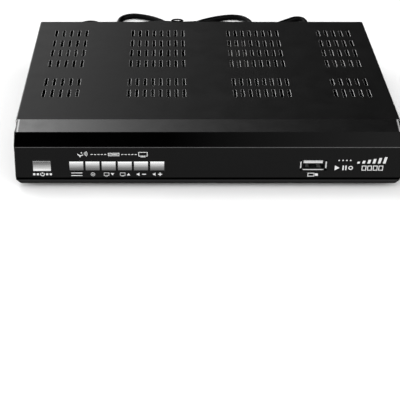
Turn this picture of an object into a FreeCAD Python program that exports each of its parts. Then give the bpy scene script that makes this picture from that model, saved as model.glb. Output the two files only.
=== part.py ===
import FreeCAD, Part
import math
import os

os.makedirs("parts", exist_ok=True)
Vector = FreeCAD.Vector
X_AXIS, Y_AXIS, Z_AXIS = Vector(1, 0, 0), Vector(0, 1, 0), Vector(0, 0, 1)

# A satellite receiver in a folded sheet case with a moulded front. Millimetres, +X to the right seen
# from the front, +Y to the rear, +Z up. The origin is the bottom centre of the receiver without its lead.

# Case
case_width = 221.4
cover_length = 142.4
fascia_depth = 18.5
body_height = 31.5
foot_height = 3.5
foot_radius = 6.5
foot_inset_x = 16.0
foot_inset_y = 14.0
foot_edge = 0.65
sheet = 0.8
bend_radius = 1.2
cover_flange_gap = 0.8
tray_flange_height = 9.0
fold_clearance = 0.1
case_screw_radius = 1.5
case_screw_head_radius = 2.9
case_screw_head_height = 1.2
case_screw_length = 4.5
side_screw_inset = 28.0
rear_screw_inset = 13.0
screw_clearance = 0.05
socket_reach = 9.5

# Vents in the cover: slots by row, in four groups of columns
slot_length = 10.0
slot_width = 2.0
slot_row_offsets = (33.1, 48.2, 74.6, 90.4, 105.4, 121.5)
outer_slot_margin = 12.9
outer_slot_pitch = 5.05
outer_slot_columns = 5
left_slot_start = -46.6
left_slot_pitch = 4.76
right_slot_start = 17.2
right_slot_pitch = 4.66
middle_slot_columns = 8
floor_slot_length = 26.0
floor_slot_pitch = 7.0
floor_slot_count = 12
floor_slot_row = 19.5

# Front moulding and the lens bonded on it
lens = 1.8
fascia_wall = 1.8
lip_height = 2.9
groove_height = 1.2
groove_depth = 0.7
bevel_depth = 7.5
bevel_rise = 5.6
ledge_rise = 2.2
break_radius = 0.8
lower_corner_radius = 2.2
end_radius = 1.0
tab_length = 9.0
tab_width = 14.0
tab_thickness = 2.0
tab_insets = (22.0, 77.0)
hole_clearance = 0.2

# Keys
key_width = 8.0
key_height = 6.0
key_pitch = 9.21
key_row_offset = 35.4
key_centre_height = 11.3
key_proud = 0.8
key_crown = 0.5
key_travel = 0.5
standby_width = 10.2
standby_height = 6.6
standby_offset = 15.7
flange_thickness = 1.0
flange_side = 0.4
flange_lip = 1.4
flange_gap = 0.1
stem_radius = 1.5
plunger_radius = 1.7
stem_clearance = 1.0
plunger_seat = 1.6
plunger_clearance = 0.05
switch_size = 6.0
bore_spare = 0.6
switch_floor = 0.8

# Front board
board = 1.6
front_board_setback = 11.6
front_board_height = 18.0
front_board_bottom = 3.6
front_board_margin = 5.0
boss_radius = 2.6
boss_edge = 0.4
receiver_offset = 21.9
receiver_width = 7.0
receiver_window = 8.0
receiver_depth = 6.0
receiver_eye_radius = 2.1
display_width = 30.0
display_height = 10.0
display_depth = 7.2
window_margin = 0.8

# Front socket for a memory stick
usb_offset = 50.8
usb_centre_height = 11.75
usb_hole_width = 15.4
usb_hole_height = 6.9
usb_opening_width = 12.5
usb_opening_height = 5.12
usb_wall = 0.35
usb_setback = 1.2
usb_lip_depth = 0.75
usb_lip_gap = 0.12
usb_tongue_width = 11.1
usb_tongue_thickness = 1.84
usb_tongue_drop = 0.4
usb_tongue_setback = 1.3
usb_base_depth = 2.5

# Boards on the floor of the tray
standoff_height = 6.0
standoff_radius = 3.0
board_screw_radius = 1.4
board_screw_length = 4.0
board_screw_head_radius = 2.7
board_screw_head_height = 1.6
board_hole_radius = 1.55
power_board_width = 48.0
board_margin = 6.0
main_board_front = 8.0
board_rear_gap = 4.0
board_gap = 6.0
power_board_front = 14.0
board_hole_inset = 5.0

# Rear sockets
tuner_width = 48.0
tuner_depth = 30.0
tuner_height = 14.0
tuner_margin = 9.0
tuner_lid_rim = 3.0
f_thread_radius = 4.76
f_neck_radius = 4.5
f_bore_radius = 3.4
f_bore_depth = 8.0
f_contact_hole = 0.6
f_spacing = 22.0
f_nut_width = 11.0
f_nut_thickness = 2.0
f_axis_height = 8.0
f_clearance = 0.15
rca_radius = 4.15
rca_wall = 0.6
rca_pin_radius = 1.6
rca_spacing = 14.0
rca_axis_height = 8.5
rca_back = 1.0
rca_collar = 0.2
rca_collar_gap = 0.1
rca_seat = 0.4
rca_insert_seat = 0.5
jack_block_width = 42.0
jack_block_depth = 12.0
jack_block_height = 14.0
hdmi_margin = 26.0
hdmi_width = 15.0
hdmi_height = 5.6
hdmi_wall = 0.4
hdmi_slope = 1.96
hdmi_corner = 0.4
hdmi_back = 1.0
hdmi_depth = 12.0
hdmi_proud = 0.8
hdmi_tongue_width = 10.0
hdmi_tongue_thickness = 1.2
hdmi_clearance = 0.3
fit_gap = 0.05

# Parts on the boards. A place on a board is (across, back) from the piece that the group belongs to.
chip_size = 24.0
chip_height = 2.0
chip_offset = 12.0
chip_setback = 53.0
memory_size = (10.0, 8.0, 1.1)
memory_places = ((-12.0, -24.0), (12.0, -24.0))
flash_size = (8.0, 6.0, 1.6)
flash_place = (-24.0, 24.0)
sink_size = 28.0
sink_base = 2.5
sink_height = 10.0
sink_fins = 7
sink_fin = 1.2
transformer_length = 28.0
transformer_width = 24.0
lid_gap = 2.3
transformer_offset = 6.8
winding_corner = 2.0
core_leg = 6.0
bulk_radius = 8.0
bulk_lid_gap = 3.3
bulk_offset = 8.0
bulk_setback = 28.0
fuse_radius = 2.6
fuse_length = 20.0
fuse_lift = 0.4
fuse_margin = 12.0
fuse_gap = 10.0
clip_width = 6.0
clip_length = 4.0
header_width = 16.0
header_depth = 5.0
header_height = 6.0
header_edge = 1.0
harness_gap = 18.4
wire_radius = 0.7
wire_pitch = 2.5
wire_count = 5
ribbon_width = 12.0
ribbon_centre = -10.0
ribbon = 0.5
ribbon_rise = 2.5

# Electrolytic cans: (across, back, radius, height) from the main chip, the main board's left edge
# level with that chip, and the transformer
chip_cans = (
    (30.0, 10.0, 3.2, 8.0),
    (30.0, -4.0, 3.2, 8.0),
    (-30.0, 12.0, 2.5, 7.0),
    (-30.0, -12.0, 4.0, 11.0),
)
edge_cans = ((16.0, 4.0, 3.2, 8.0), (16.0, -14.0, 3.2, 8.0))
power_cans = ((-16.0, 26.0, 4.0, 14.0), (-16.0, -24.0, 4.0, 14.0), (-6.0, 26.0, 4.0, 14.0))

# Mains lead
lead_offset = 25.7
lead_height = 16.0
lead_diameter = 4.2
bush_flange_radius = 7.0
bush_flange = 2.0
bush_neck_radius = 5.5
bush_neck_clearance = 0.1
bush_inner_step = 0.5
boot_root_radius = 5.0
boot_tip_radius = 2.9
boot_length = 25.0
lead_tail = 8.0
core_wire_radius = 0.9
core_wire_spacing = 2.1
core_length = 4.0
terminal_width = 12.0
terminal_depth = 8.0
terminal_cover = 2.0
hank_height = 9.0
loop_height = 4.6
waist_strands = 4
waist_length = 16.0
lobe_start = 2.0
lobe_corner = 6.0
tie_tunnel = 12.0
tie_thickness = 0.5
tie_width = 3.0
tie_clearance = 0.1
plug_width = 35.3
plug_thickness = 13.7
plug_length = 34.0
plug_neck = 5.0
plug_shoulder = 15.3
plug_neck_corner = 2.0
plug_shoulder_corner = 6.0
plug_face_corner = 3.0
pin_radius = 2.0
pin_length = 19.0
pin_tip = 1.2
pin_spacing = 18.6

# Planes that the pieces share
half_width = case_width / 2
y_face = -(key_proud + fascia_depth + cover_length + socket_reach) / 2 + key_proud
y_seam = y_face + fascia_depth
y_rear = y_seam + cover_length
y_panel = y_rear - sheet
y_inside = y_panel - sheet
z_base = foot_height
z_floor = z_base + sheet
z_top = z_base + body_height
face_top = z_top - ledge_rise - bevel_rise
z_board = z_floor + standoff_height + board
z_lid = z_top - sheet
y_lens_back = y_face + lens
y_wall_back = y_lens_back + fascia_wall
y_front_board = y_face + front_board_setback
window_z = (z_base + face_top) / 2
plunger_proud = key_travel + stem_clearance
bore_depth = plunger_seat + key_travel + bore_spare
switch_depth = bore_depth + switch_floor
y_switch = y_front_board - switch_depth
y_plunger = y_switch - plunger_proud
y_tips = y_rear + socket_reach
inside_half_width = half_width - sheet
past = 1.0  # how far a cutter runs past what it cuts

# Places that follow from them
standby_x = -half_width + standby_offset
first_key_x = -half_width + key_row_offset
usb_x = half_width - usb_offset
usb_z = z_base + usb_centre_height
key_z = z_base + key_centre_height
power_x1 = half_width - board_margin
power_x0 = power_x1 - power_board_width
main_x0 = -half_width + board_margin
main_x1 = power_x0 - board_gap
main_y0 = y_seam + main_board_front
board_y1 = y_inside - board_rear_gap
power_y0 = y_seam + power_board_front
tuner_x0 = -half_width + tuner_margin
tuner_x1 = tuner_x0 + tuner_width
hdmi_x = main_x1 - hdmi_margin
jack_block_x = (tuner_x1 + hdmi_x - hdmi_width / 2) / 2
f_axis_z = z_board + f_axis_height
rca_axis_z = z_board + rca_axis_height
cover_flange_z = f_axis_z + f_nut_width / 2 + cover_flange_gap
lead_x = half_width - lead_offset
lead_z = lead_height
receiver_x = usb_x - receiver_offset
KEYS = ["standby", "menu", "select", "channel_down", "channel_up", "volume_down", "volume_up"]


def key_place(name):
    """The centre, width and height of a key."""
    index = KEYS.index(name)
    if index == 0:
        return standby_x, standby_width, standby_height
    return first_key_x + key_pitch * (index - 1), key_width, key_height


display_x = (key_place(KEYS[-1])[0] + receiver_x) / 2


def block(x0, x1, y0, y1, z0, z1):
    return Part.makeBox(x1 - x0, y1 - y0, z1 - z0, Vector(x0, y0, z0))


def centred(x, width, y0, y1, z, height):
    """A block centred on x and z."""
    return block(x - width / 2, x + width / 2, y0, y1, z - height / 2, z + height / 2)


def rod(radius, start, direction, length):
    return Part.makeCylinder(radius, length, start, direction)


def fused(shapes):
    first = shapes[0]
    return first.fuse(shapes[1:]).removeSplitter() if len(shapes) > 1 else first


def cut(shape, tools):
    return shape.cut(tools)


def screw(point, inward, radius, head_radius, head_height, length):
    """A pan head screw seated at point, with a round drive recess half through its head."""
    top = point - inward * head_height
    whole = fused([rod(head_radius, top, inward, head_height), rod(radius, point, inward, length)])
    return whole.cut(rod(radius * 0.6, top, inward, head_height / 2))


def outline(corners):
    """A closed wire through corners, each a (point, radius) with the corner rounded to that radius."""
    ends = []
    edges = []
    for index, (corner, radius) in enumerate(corners):
        before = (corners[index - 1][0] - corner).normalize()
        after = (corners[(index + 1) % len(corners)][0] - corner).normalize()
        if radius == 0:
            ends.append((corner, corner))
            continue
        half = before.getAngle(after) / 2
        reach = radius / math.tan(half)
        inward = (before + after).normalize()
        middle = corner + inward * (radius / math.sin(half) - radius)
        start, end = corner + before * reach, corner + after * reach
        ends.append((start, end))
        edges.append(Part.Arc(start, middle, end).toShape())
    for index, (_, start) in enumerate(ends):
        end = ends[(index + 1) % len(ends)][0]
        if start.distanceToPoint(end) > 1e-6:
            edges.append(Part.LineSegment(start, end).toShape())
    return Part.Wire(Part.__sortEdges__(edges))


def prism(corners, along):
    """The solid that a rounded outline sweeps along a vector."""
    return Part.Face(outline(corners)).extrude(along)


def side_profile(corners, x0, x1):
    """A prism along X from (y, z, radius) corners."""
    return prism([(Vector(x0, y, z), r) for y, z, r in corners], Vector(x1 - x0, 0, 0))


def plan_profile(corners, z0, z1):
    """A prism along Z from (x, y, radius) corners."""
    return prism([(Vector(x, y, z0), r) for x, y, r in corners], Vector(0, 0, z1 - z0))


def stadium(x, y, width, length, z0, z1):
    """An upright slot cutter with round ends, its length along Y."""
    r = width / 2
    straight = length / 2 - r
    edges = []
    for side in (-1, 1):
        start = Vector(x + side * r, y - side * straight, z0)
        end = Vector(x + side * r, y + side * straight, z0)
        edges.append(Part.LineSegment(start, end).toShape())
        tip, far = Vector(x, y + side * length / 2, z0), Vector(x - side * r, y + side * straight, z0)
        edges.append(Part.Arc(end, tip, far).toShape())
    return Part.Face(Part.Wire(edges)).extrude(Vector(0, 0, z1 - z0))


# Case ------------------------------------------------------------------------------------------------


def foot_places():
    return [
        (side * (half_width - foot_inset_x), y)
        for side in (-1, 1)
        for y in (y_seam + foot_inset_y, y_rear - foot_inset_y)
    ]


def cover_screw_places():
    """Each screw's point on the outside of the cover and its inward direction."""
    side_z = z_base + tray_flange_height / 2
    places = [
        (Vector(side * half_width, y, side_z), Vector(-side, 0, 0))
        for side in (-1, 1)
        for y in (y_seam + side_screw_inset, y_rear - side_screw_inset)
    ]
    rear_z = (z_lid + cover_flange_z) / 2
    rear_x = half_width - rear_screw_inset
    return places + [(Vector(x, y_rear, rear_z), Vector(0, -1, 0)) for x in (-rear_x, 0, rear_x)]


def screw_holes():
    reach = 4 * sheet
    return [
        rod(case_screw_radius + screw_clearance, point - inward, inward, reach)
        for point, inward in cover_screw_places()
    ]


def rounded_case(inset):
    """The outside of the cover, or its inside where inset is one sheet."""
    radius = bend_radius - inset
    low = z_base - bend_radius
    width = case_width - 2 * inset
    top = z_top - inset
    rear = y_rear - inset
    solid = block(-width / 2, width / 2, y_seam - 2 * inset, rear, low, top)
    edges = [
        edge
        for edge in solid.Edges
        if edge.CenterOfMass.z > top - 0.01
        and (abs(edge.CenterOfMass.x) > width / 2 - 0.01 or edge.CenterOfMass.y > rear - 0.01)
        or edge.CenterOfMass.y > rear - 0.01
        and abs(edge.CenterOfMass.x) > width / 2 - 0.01
    ]
    return solid.makeFillet(radius, edges)


def slot_places():
    """The centre of every vent slot in the cover."""
    columns = [-half_width + outer_slot_margin + outer_slot_pitch * i for i in range(outer_slot_columns)]
    columns += [left_slot_start + left_slot_pitch * i for i in range(middle_slot_columns)]
    columns += [right_slot_start + right_slot_pitch * i for i in range(middle_slot_columns)]
    columns += [half_width - outer_slot_margin - outer_slot_pitch * i for i in range(outer_slot_columns)]
    return [(x, y_seam + offset) for offset in slot_row_offsets for x in columns]


def top_cover():
    shell = rounded_case(0).cut(rounded_case(sheet))
    below = block(-case_width, case_width, y_seam - sheet, y_rear + sheet, z_base - 2 * bend_radius, z_base)
    rear_opening = block(
        -inside_half_width + bend_radius,
        inside_half_width - bend_radius,
        y_panel - fold_clearance,
        y_rear + sheet,
        z_base - sheet,
        cover_flange_z,
    )
    slots = [
        stadium(x, y, slot_width, slot_length, z_top - 2 * sheet, z_top + sheet) for x, y in slot_places()
    ]
    return cut(shell, [below, rear_opening] + slots + screw_holes())


def rear_panel_holes():
    """The cut-outs of the tray's rear panel, one for each socket and the lead."""
    start = y_inside - sheet
    depth = 3 * sheet
    round_holes = [(x, f_axis_z, f_thread_radius + f_clearance) for x in f_places()]
    rca_hole_radius = rca_radius + rca_collar + rca_collar_gap
    round_holes += [(x, rca_axis_z, rca_hole_radius) for x in rca_places()]
    round_holes.append((lead_x, lead_z, bush_neck_radius + bush_neck_clearance))
    holes = [rod(radius, Vector(x, start, z), Y_AXIS, depth) for x, z, radius in round_holes]
    width, height = hdmi_width + 2 * hdmi_clearance, hdmi_height + 2 * hdmi_clearance
    holes.append(centred(hdmi_x, width, start, start + depth, z_board + hdmi_height / 2, height))
    return holes


def chassis_tray():
    edge = inside_half_width - fold_clearance
    front_corners = [(-edge, y_seam, 0), (edge, y_seam, 0)]
    rear_corners = [(edge, y_panel, bend_radius), (-edge, y_panel, bend_radius)]
    floor = plan_profile(front_corners + rear_corners, z_base, z_floor)
    rear_top = z_top - bend_radius - fold_clearance
    rear = block(-edge + bend_radius, edge - bend_radius, y_inside, y_panel, z_floor, rear_top)
    flanges = [
        block(
            min(side * edge, side * (edge - sheet)),
            max(side * edge, side * (edge - sheet)),
            y_seam,
            y_inside - fold_clearance,
            z_floor,
            z_base + tray_flange_height,
        )
        for side in (-1, 1)
    ]
    vents = [
        stadium(
            floor_slot_pitch * (i - (floor_slot_count - 1) / 2),
            y,
            slot_width,
            floor_slot_length,
            z_base - sheet,
            z_floor + sheet,
        )
        for i in range(floor_slot_count)
        for y in (-floor_slot_row, floor_slot_row)
    ]
    return cut(fused([floor, rear] + flanges), vents + rear_panel_holes() + screw_holes())


def cover_screws():
    sizes = case_screw_radius, case_screw_head_radius, case_screw_head_height, case_screw_length
    return [screw(point, inward, *sizes) for point, inward in cover_screw_places()]


def rubber_feet():
    feet = []
    for x, y in foot_places():
        foot = rod(foot_radius, Vector(x, y, 0), Z_AXIS, foot_height)
        feet.append(foot.makeFillet(foot_edge, [foot.Edges[-1]]))
    return feet


# Front moulding --------------------------------------------------------------------------------------


def inset_path(points, distance):
    """A chain of (y, z) points moved to its right-hand side by distance."""
    lines = []
    for (y0, z0), (y1, z1) in zip(points, points[1:]):
        length = math.hypot(y1 - y0, z1 - z0)
        side = ((z1 - z0) / length * distance, -(y1 - y0) / length * distance)
        lines.append(((y0 + side[0], z0 + side[1]), (y1 + side[0], z1 + side[1])))
    moved = [lines[0][0]]
    for ((ay, az), (by, bz)), ((cy, cz), (dy, dz)) in zip(lines, lines[1:]):
        across = (by - ay) * (dz - cz) - (bz - az) * (dy - cy)
        share = ((cy - ay) * (dz - cz) - (cz - az) * (dy - cy)) / across
        moved.append((ay + (by - ay) * share, az + (bz - az) * share))
    return moved + [lines[-1][1]]


groove_top = z_base + lip_height + groove_height
ledge_front = (y_face + bevel_depth, face_top + bevel_rise)
front_line = [(y_face, groove_top), (y_face, face_top), ledge_front]
lens_back_line = inset_path(front_line, lens)


def front_outline(inset, y0, y1):
    """The front view's outline as a solid between two planes: round at its lower corners."""
    left, right = -half_width + inset, half_width - inset
    low, high = z_base + inset, z_top - inset
    lower = max(lower_corner_radius - inset, 0.5)
    upper = max(bend_radius - inset, 0.5)
    corners = [(left, low, lower), (right, low, lower), (right, high, upper), (left, high, upper)]
    return prism([(Vector(x, y0, z), r) for x, z, r in corners], Vector(0, y1 - y0, 0))


def end_rounding(y0, y1):
    """The plan of the front with its two upright corners rounded."""
    corners = [
        (-half_width, y0, end_radius),
        (half_width, y0, end_radius),
        (half_width, y1, 0),
        (-half_width, y1, 0),
    ]
    return plan_profile(corners, z_base - sheet, z_top + sheet)


def front_openings():
    """What passes through the lens and the wall behind it: seven keys and the memory stick's socket."""
    y0, y1 = y_face - key_proud, y_wall_back + fascia_wall / 2
    holes = []
    for name in KEYS:
        x, width, height = key_place(name)
        holes.append(centred(x, width + 2 * hole_clearance, y0, y1, key_z, height + 2 * hole_clearance))
    holes.append(centred(usb_x, usb_hole_width, y0, y1, usb_z, usb_hole_height))
    return holes


def front_panel():
    corners = [(y, z, 0) for y, z in front_line + lens_back_line[::-1]]
    corners[1] = (*front_line[1], break_radius)
    plate = side_profile(corners, -half_width, half_width)
    plate = plate.common(front_outline(0, y_face - sheet, y_seam)).common(end_rounding(y_face, y_seam))
    return cut(plate, front_openings())


def front_fascia():
    lip_top = z_base + lip_height
    shell_line = (
        [(y_face, z_base, break_radius), (y_face, lip_top, 0.3), (y_face + groove_depth, lip_top, 0)]
        + [(y_face + groove_depth, groove_top, 0)]
        + [(y, z, 0) for y, z in lens_back_line]
        + [(*ledge_front, 0), (y_seam, z_top, 0), (y_seam, z_base, 0)]
    )
    shell = side_profile(shell_line, -half_width, half_width)
    shell = shell.common(front_outline(0, y_face - sheet, y_seam)).common(end_rounding(y_face, y_seam))
    wall_line = inset_path([(y_lens_back, z_base), lens_back_line[1], lens_back_line[2]], fascia_wall)
    ledge_line = inset_path([ledge_front, (y_seam, z_top)], fascia_wall)
    cavity_line = [(y_wall_back, z_base + fascia_wall), wall_line[1], wall_line[2]]
    cavity_line += [ledge_line[1], (y_seam + sheet, ledge_line[1][1]), (y_seam + sheet, z_base + fascia_wall)]
    cavity = side_profile([(y, z, 0) for y, z in cavity_line], -half_width, half_width)
    cavity = cavity.common(front_outline(fascia_wall, y_face, y_seam + 2 * sheet))
    shell = shell.cut(cavity)
    behind = y_wall_back + sheet
    display_hole = centred(display_x, display_width, y_face, behind, window_z, display_height)
    receiver_hole = centred(receiver_x, receiver_window, y_face, behind, window_z, receiver_window)
    shell = cut(shell, front_openings() + [display_hole, receiver_hole])
    boss_length = y_front_board - y_wall_back
    bosses = [rod(boss_radius, Vector(x, y_wall_back, z), Y_AXIS, boss_length) for x, z in boss_places()]
    y0, y1 = y_seam - tab_thickness, y_seam + tab_length
    tab_z = z_floor + tab_thickness / 2
    tab_x = [side * (half_width - inset) for side in (-1, 1) for inset in tab_insets]
    tabs = [centred(x, tab_width, y0, y1, tab_z, tab_thickness) for x in tab_x]
    pilot_y = y_front_board - board_screw_length
    pilot_radius = board_screw_radius + screw_clearance
    pilots = [rod(pilot_radius, Vector(x, pilot_y, z), Y_AXIS, board_screw_length) for x, z in boss_places()]
    return cut(fused([shell] + bosses + tabs), pilots)


def boss_places():
    """The four screws of the front board, in (x, z)."""
    inset = boss_radius + boss_edge
    low = z_base + front_board_bottom + inset
    high = z_base + front_board_bottom + front_board_height - inset
    between_keys = (standby_x + standby_width / 2 + first_key_x - key_width / 2) / 2
    right = front_board_span()[1] - inset
    return [(between_keys, high), (between_keys, low), (right, low), (right, high)]


def front_board_span():
    return -half_width + front_board_margin, usb_x + usb_hole_width / 2 + 3 * boss_radius


# Keys ------------------------------------------------------------------------------------------------


def key_cap(name):
    """A cap with its curved face, the flange that keeps it behind the wall, and its stem."""
    x, width, height = key_place(name)
    back = y_wall_back + flange_gap
    low, high = key_z - height / 2, key_z + height / 2
    front = y_face - key_proud
    dished = name == "standby"
    edge = front if dished else front + key_crown
    middle = front + key_crown if dished else front
    x0 = x - width / 2
    edges = [
        Part.Arc(Vector(x0, edge, low), Vector(x0, middle, key_z), Vector(x0, edge, high)).toShape(),
        Part.LineSegment(Vector(x0, edge, high), Vector(x0, back, high)).toShape(),
        Part.LineSegment(Vector(x0, back, high), Vector(x0, back, low)).toShape(),
        Part.LineSegment(Vector(x0, back, low), Vector(x0, edge, low)).toShape(),
    ]
    body = Part.Face(Part.Wire(edges)).extrude(Vector(width, 0, 0))
    flange_height = height + 2 * flange_lip
    flange = centred(x, width + 2 * flange_side, back, back + flange_thickness, key_z, flange_height)
    stem_start = back + flange_thickness
    stem = rod(stem_radius, Vector(x, stem_start, key_z), Y_AXIS, y_plunger - stem_start)
    return fused([body, flange, stem])


def key_plunger(name):
    x, _, _ = key_place(name)
    return rod(plunger_radius, Vector(x, y_plunger, key_z), Y_AXIS, plunger_proud + plunger_seat)


def tact_switches():
    """A housing behind each key, with a blind bore for its plunger."""
    housings = []
    for name in KEYS:
        x, _, _ = key_place(name)
        body = centred(x, switch_size, y_switch, y_front_board, key_z, switch_size)
        bore = rod(plunger_radius + plunger_clearance, Vector(x, y_switch, key_z), Y_AXIS, bore_depth)
        housings.append(body.cut(bore))
    return housings


# Front board -----------------------------------------------------------------------------------------


def front_board():
    x0, x1 = front_board_span()
    low = z_base + front_board_bottom
    plate = block(x0, x1, y_front_board, y_front_board + board, low, low + front_board_height)
    y0, depth = y_front_board - board, 3 * board
    return cut(plate, [rod(board_hole_radius, Vector(x, y0, z), Y_AXIS, depth) for x, z in boss_places()])


def ir_receiver():
    """A block with a round lens towards the front."""
    front = y_front_board - receiver_depth
    body = centred(receiver_x, receiver_width, front, y_front_board, window_z, receiver_width)
    return fused([body, Part.makeSphere(receiver_eye_radius, Vector(receiver_x, front, window_z))])


def led_display():
    width, height = display_width - 2 * window_margin, display_height - 2 * window_margin
    return centred(display_x, width, y_front_board - display_depth, y_front_board, window_z, height)


def usb_front():
    return y_face + usb_setback


def usb_socket_shell():
    """A folded steel tube with four flared lips at its mouth."""
    y0 = usb_front()
    width, height = usb_opening_width + 2 * usb_wall, usb_opening_height + 2 * usb_wall
    tube = centred(usb_x, width, y0, y_front_board, usb_z, height)
    y_past = y_front_board + past
    tube = tube.cut(centred(usb_x, usb_opening_width, y0 - past, y_past, usb_z, usb_opening_height))
    lips = []
    y_lip = y0 - usb_lip_depth
    lip_half_width, lip_half_height = usb_opening_width / 2 - usb_wall, usb_opening_height / 2 - usb_wall
    flare_z = (usb_hole_height - height) / 2 - usb_lip_gap
    flare_x = (usb_hole_width - width) / 2 - usb_lip_gap
    for side in (-1, 1):
        z = usb_z + side * usb_opening_height / 2
        wall, flare = side * usb_wall, side * flare_z
        corners = [(y0, z, 0), (y0, z + wall, 0), (y_lip, z + wall + flare, 0), (y_lip, z + flare, 0)]
        lips.append(side_profile(corners, usb_x - lip_half_width, usb_x + lip_half_width))
        x = usb_x + side * usb_opening_width / 2
        flare = side * flare_x
        corners = [(x, y0, 0), (x + wall, y0, 0), (x + wall + flare, y_lip, 0), (x + flare, y_lip, 0)]
        lips.append(plan_profile(corners, usb_z - lip_half_height, usb_z + lip_half_height))
    return fused([tube] + lips)


def usb_tongue_z():
    return usb_z + usb_opening_height / 2 - usb_tongue_drop - usb_tongue_thickness / 2


def usb_socket_tongue():
    y0 = usb_front() + usb_tongue_setback
    tongue = centred(usb_x, usb_tongue_width, y0, y_front_board, usb_tongue_z(), usb_tongue_thickness)
    base_width = usb_opening_width - 2 * fit_gap
    base_height = usb_opening_height - 2 * fit_gap
    base = centred(usb_x, base_width, y_front_board - usb_base_depth, y_front_board, usb_z, base_height)
    return fused([tongue, base])


# Boards on the tray ----------------------------------------------------------------------------------


def board_holes(x0, x1, y0, y1):
    return [
        (x, y)
        for x in (x0 + board_hole_inset, x1 - board_hole_inset)
        for y in (y0 + board_hole_inset, y1 - board_hole_inset)
    ]


def main_holes():
    """The main board's four screws: the rear pair stands in front of the tuner."""
    return board_holes(main_x0, main_x1, main_y0, main_rear)


def power_holes():
    return board_holes(power_x0, power_x1, power_y0, power_rear)


def tray_board(x0, x1, y0, y1, holes):
    plate = block(x0, x1, y0, y1, z_board - board, z_board)
    z, depth = z_board - 2 * board, 3 * board
    return cut(plate, [rod(board_hole_radius, Vector(x, y, z), Z_AXIS, depth) for x, y in holes])


def board_standoffs():
    posts = []
    for x, y in main_holes() + power_holes():
        post = rod(standoff_radius, Vector(x, y, z_floor), Z_AXIS, standoff_height)
        posts.append(post.cut(rod(board_hole_radius, Vector(x, y, z_floor), Z_AXIS, standoff_height)))
    return posts


def board_screws():
    """One screw through each board hole, with its thread in the post or boss behind the board."""
    places = [(Vector(x, y, z_board), Vector(0, 0, -1)) for x, y in main_holes() + power_holes()]
    places += [(Vector(x, y_front_board + board, z), Vector(0, -1, 0)) for x, z in boss_places()]
    sizes = board_screw_radius, board_screw_head_radius, board_screw_head_height, board_screw_length
    return [screw(point, inward, *sizes) for point, inward in places]


def on_board(x, y, width, depth, height):
    """A block that stands on a tray board."""
    return block(x - width / 2, x + width / 2, y - depth / 2, y + depth / 2, z_board, z_board + height)


# Rear sockets ----------------------------------------------------------------------------------------


def f_places():
    middle = (tuner_x0 + tuner_x1) / 2
    return middle - f_spacing / 2, middle + f_spacing / 2


def rca_places():
    return [jack_block_x + rca_spacing * i for i in (-1, 0, 1)]


def tuner_can():
    """A tinplate box with a shallow pressed panel in its lid."""
    x0, x1, y0, top = tuner_x0, tuner_x1, board_y1 - tuner_depth, z_board + tuner_height
    can = block(x0, x1, y0, board_y1, z_board, top)
    rim = tuner_lid_rim
    return can.cut(block(x0 + rim, x1 - rim, y0 + rim, board_y1 - rim, top - sheet / 2, top + sheet))


def f_connector(x):
    """A barrel from the tuner can: a neck through the panel and the nut, then the thread."""
    y_thread = y_panel + f_nut_thickness
    neck = rod(f_neck_radius, Vector(x, board_y1, f_axis_z), Y_AXIS, y_thread - board_y1)
    thread = rod(f_thread_radius, Vector(x, y_thread, f_axis_z), Y_AXIS, y_tips - y_thread)
    bore = rod(f_bore_radius, Vector(x, y_tips - f_bore_depth, f_axis_z), Y_AXIS, f_bore_depth)
    return fused([neck, thread]).cut(bore)


def f_insulators():
    """White discs in the two barrels, each with the hole that takes a cable's centre wire."""
    discs = []
    for x in f_places():
        start = Vector(x, y_tips - f_bore_depth, f_axis_z)
        disc = rod(f_bore_radius - fit_gap, start, Y_AXIS, f_bore_depth - fit_gap)
        discs.append(disc.cut(rod(f_contact_hole, start + Y_AXIS * past, Y_AXIS, f_bore_depth)))
    return discs


def f_nuts():
    """Hexagon nuts on the outside of the rear panel."""
    nuts = []
    corner = f_nut_width / math.sqrt(3)
    for x in f_places():
        corners = [
            (Vector(x + corner * math.cos(a), y_panel, f_axis_z + corner * math.sin(a)), 0)
            for a in [math.pi / 3 * i for i in range(6)]
        ]
        nut = prism(corners, Vector(0, f_nut_thickness, 0))
        hole_start = Vector(x, y_panel - past, f_axis_z)
        nuts.append(nut.cut(rod(f_neck_radius + fit_gap, hole_start, Y_AXIS, f_nut_thickness + 2 * past)))
    return nuts


def av_jack_block():
    """The block of the three jacks, seated on the rear panel, with a collar in each of the panel's holes."""
    x0 = jack_block_x - jack_block_width / 2
    y0, high = y_inside - jack_block_depth, z_board + jack_block_height
    body = block(x0, x0 + jack_block_width, y0, y_inside, z_board, high)
    radius = rca_radius + rca_collar
    return fused([body] + [rod(radius, Vector(x, y_inside, rca_axis_z), Y_AXIS, sheet) for x in rca_places()])


def rca_shell(x):
    length = y_tips - rca_seat - y_panel
    tube = rod(rca_radius, Vector(x, y_panel, rca_axis_z), Y_AXIS, length)
    return tube.cut(rod(rca_radius - rca_wall, Vector(x, y_panel + rca_back, rca_axis_z), Y_AXIS, length))


def jack_insert(index):
    """The coloured plug-side insulator of one jack."""
    x = rca_places()[index]
    start = Vector(x, y_panel + rca_back, rca_axis_z)
    length = y_tips - rca_seat - rca_insert_seat - start.y
    body = rod(rca_radius - rca_wall - fit_gap, start, Y_AXIS, length)
    return body.cut(rod(rca_pin_radius, start + Y_AXIS * rca_back, Y_AXIS, length))


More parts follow.
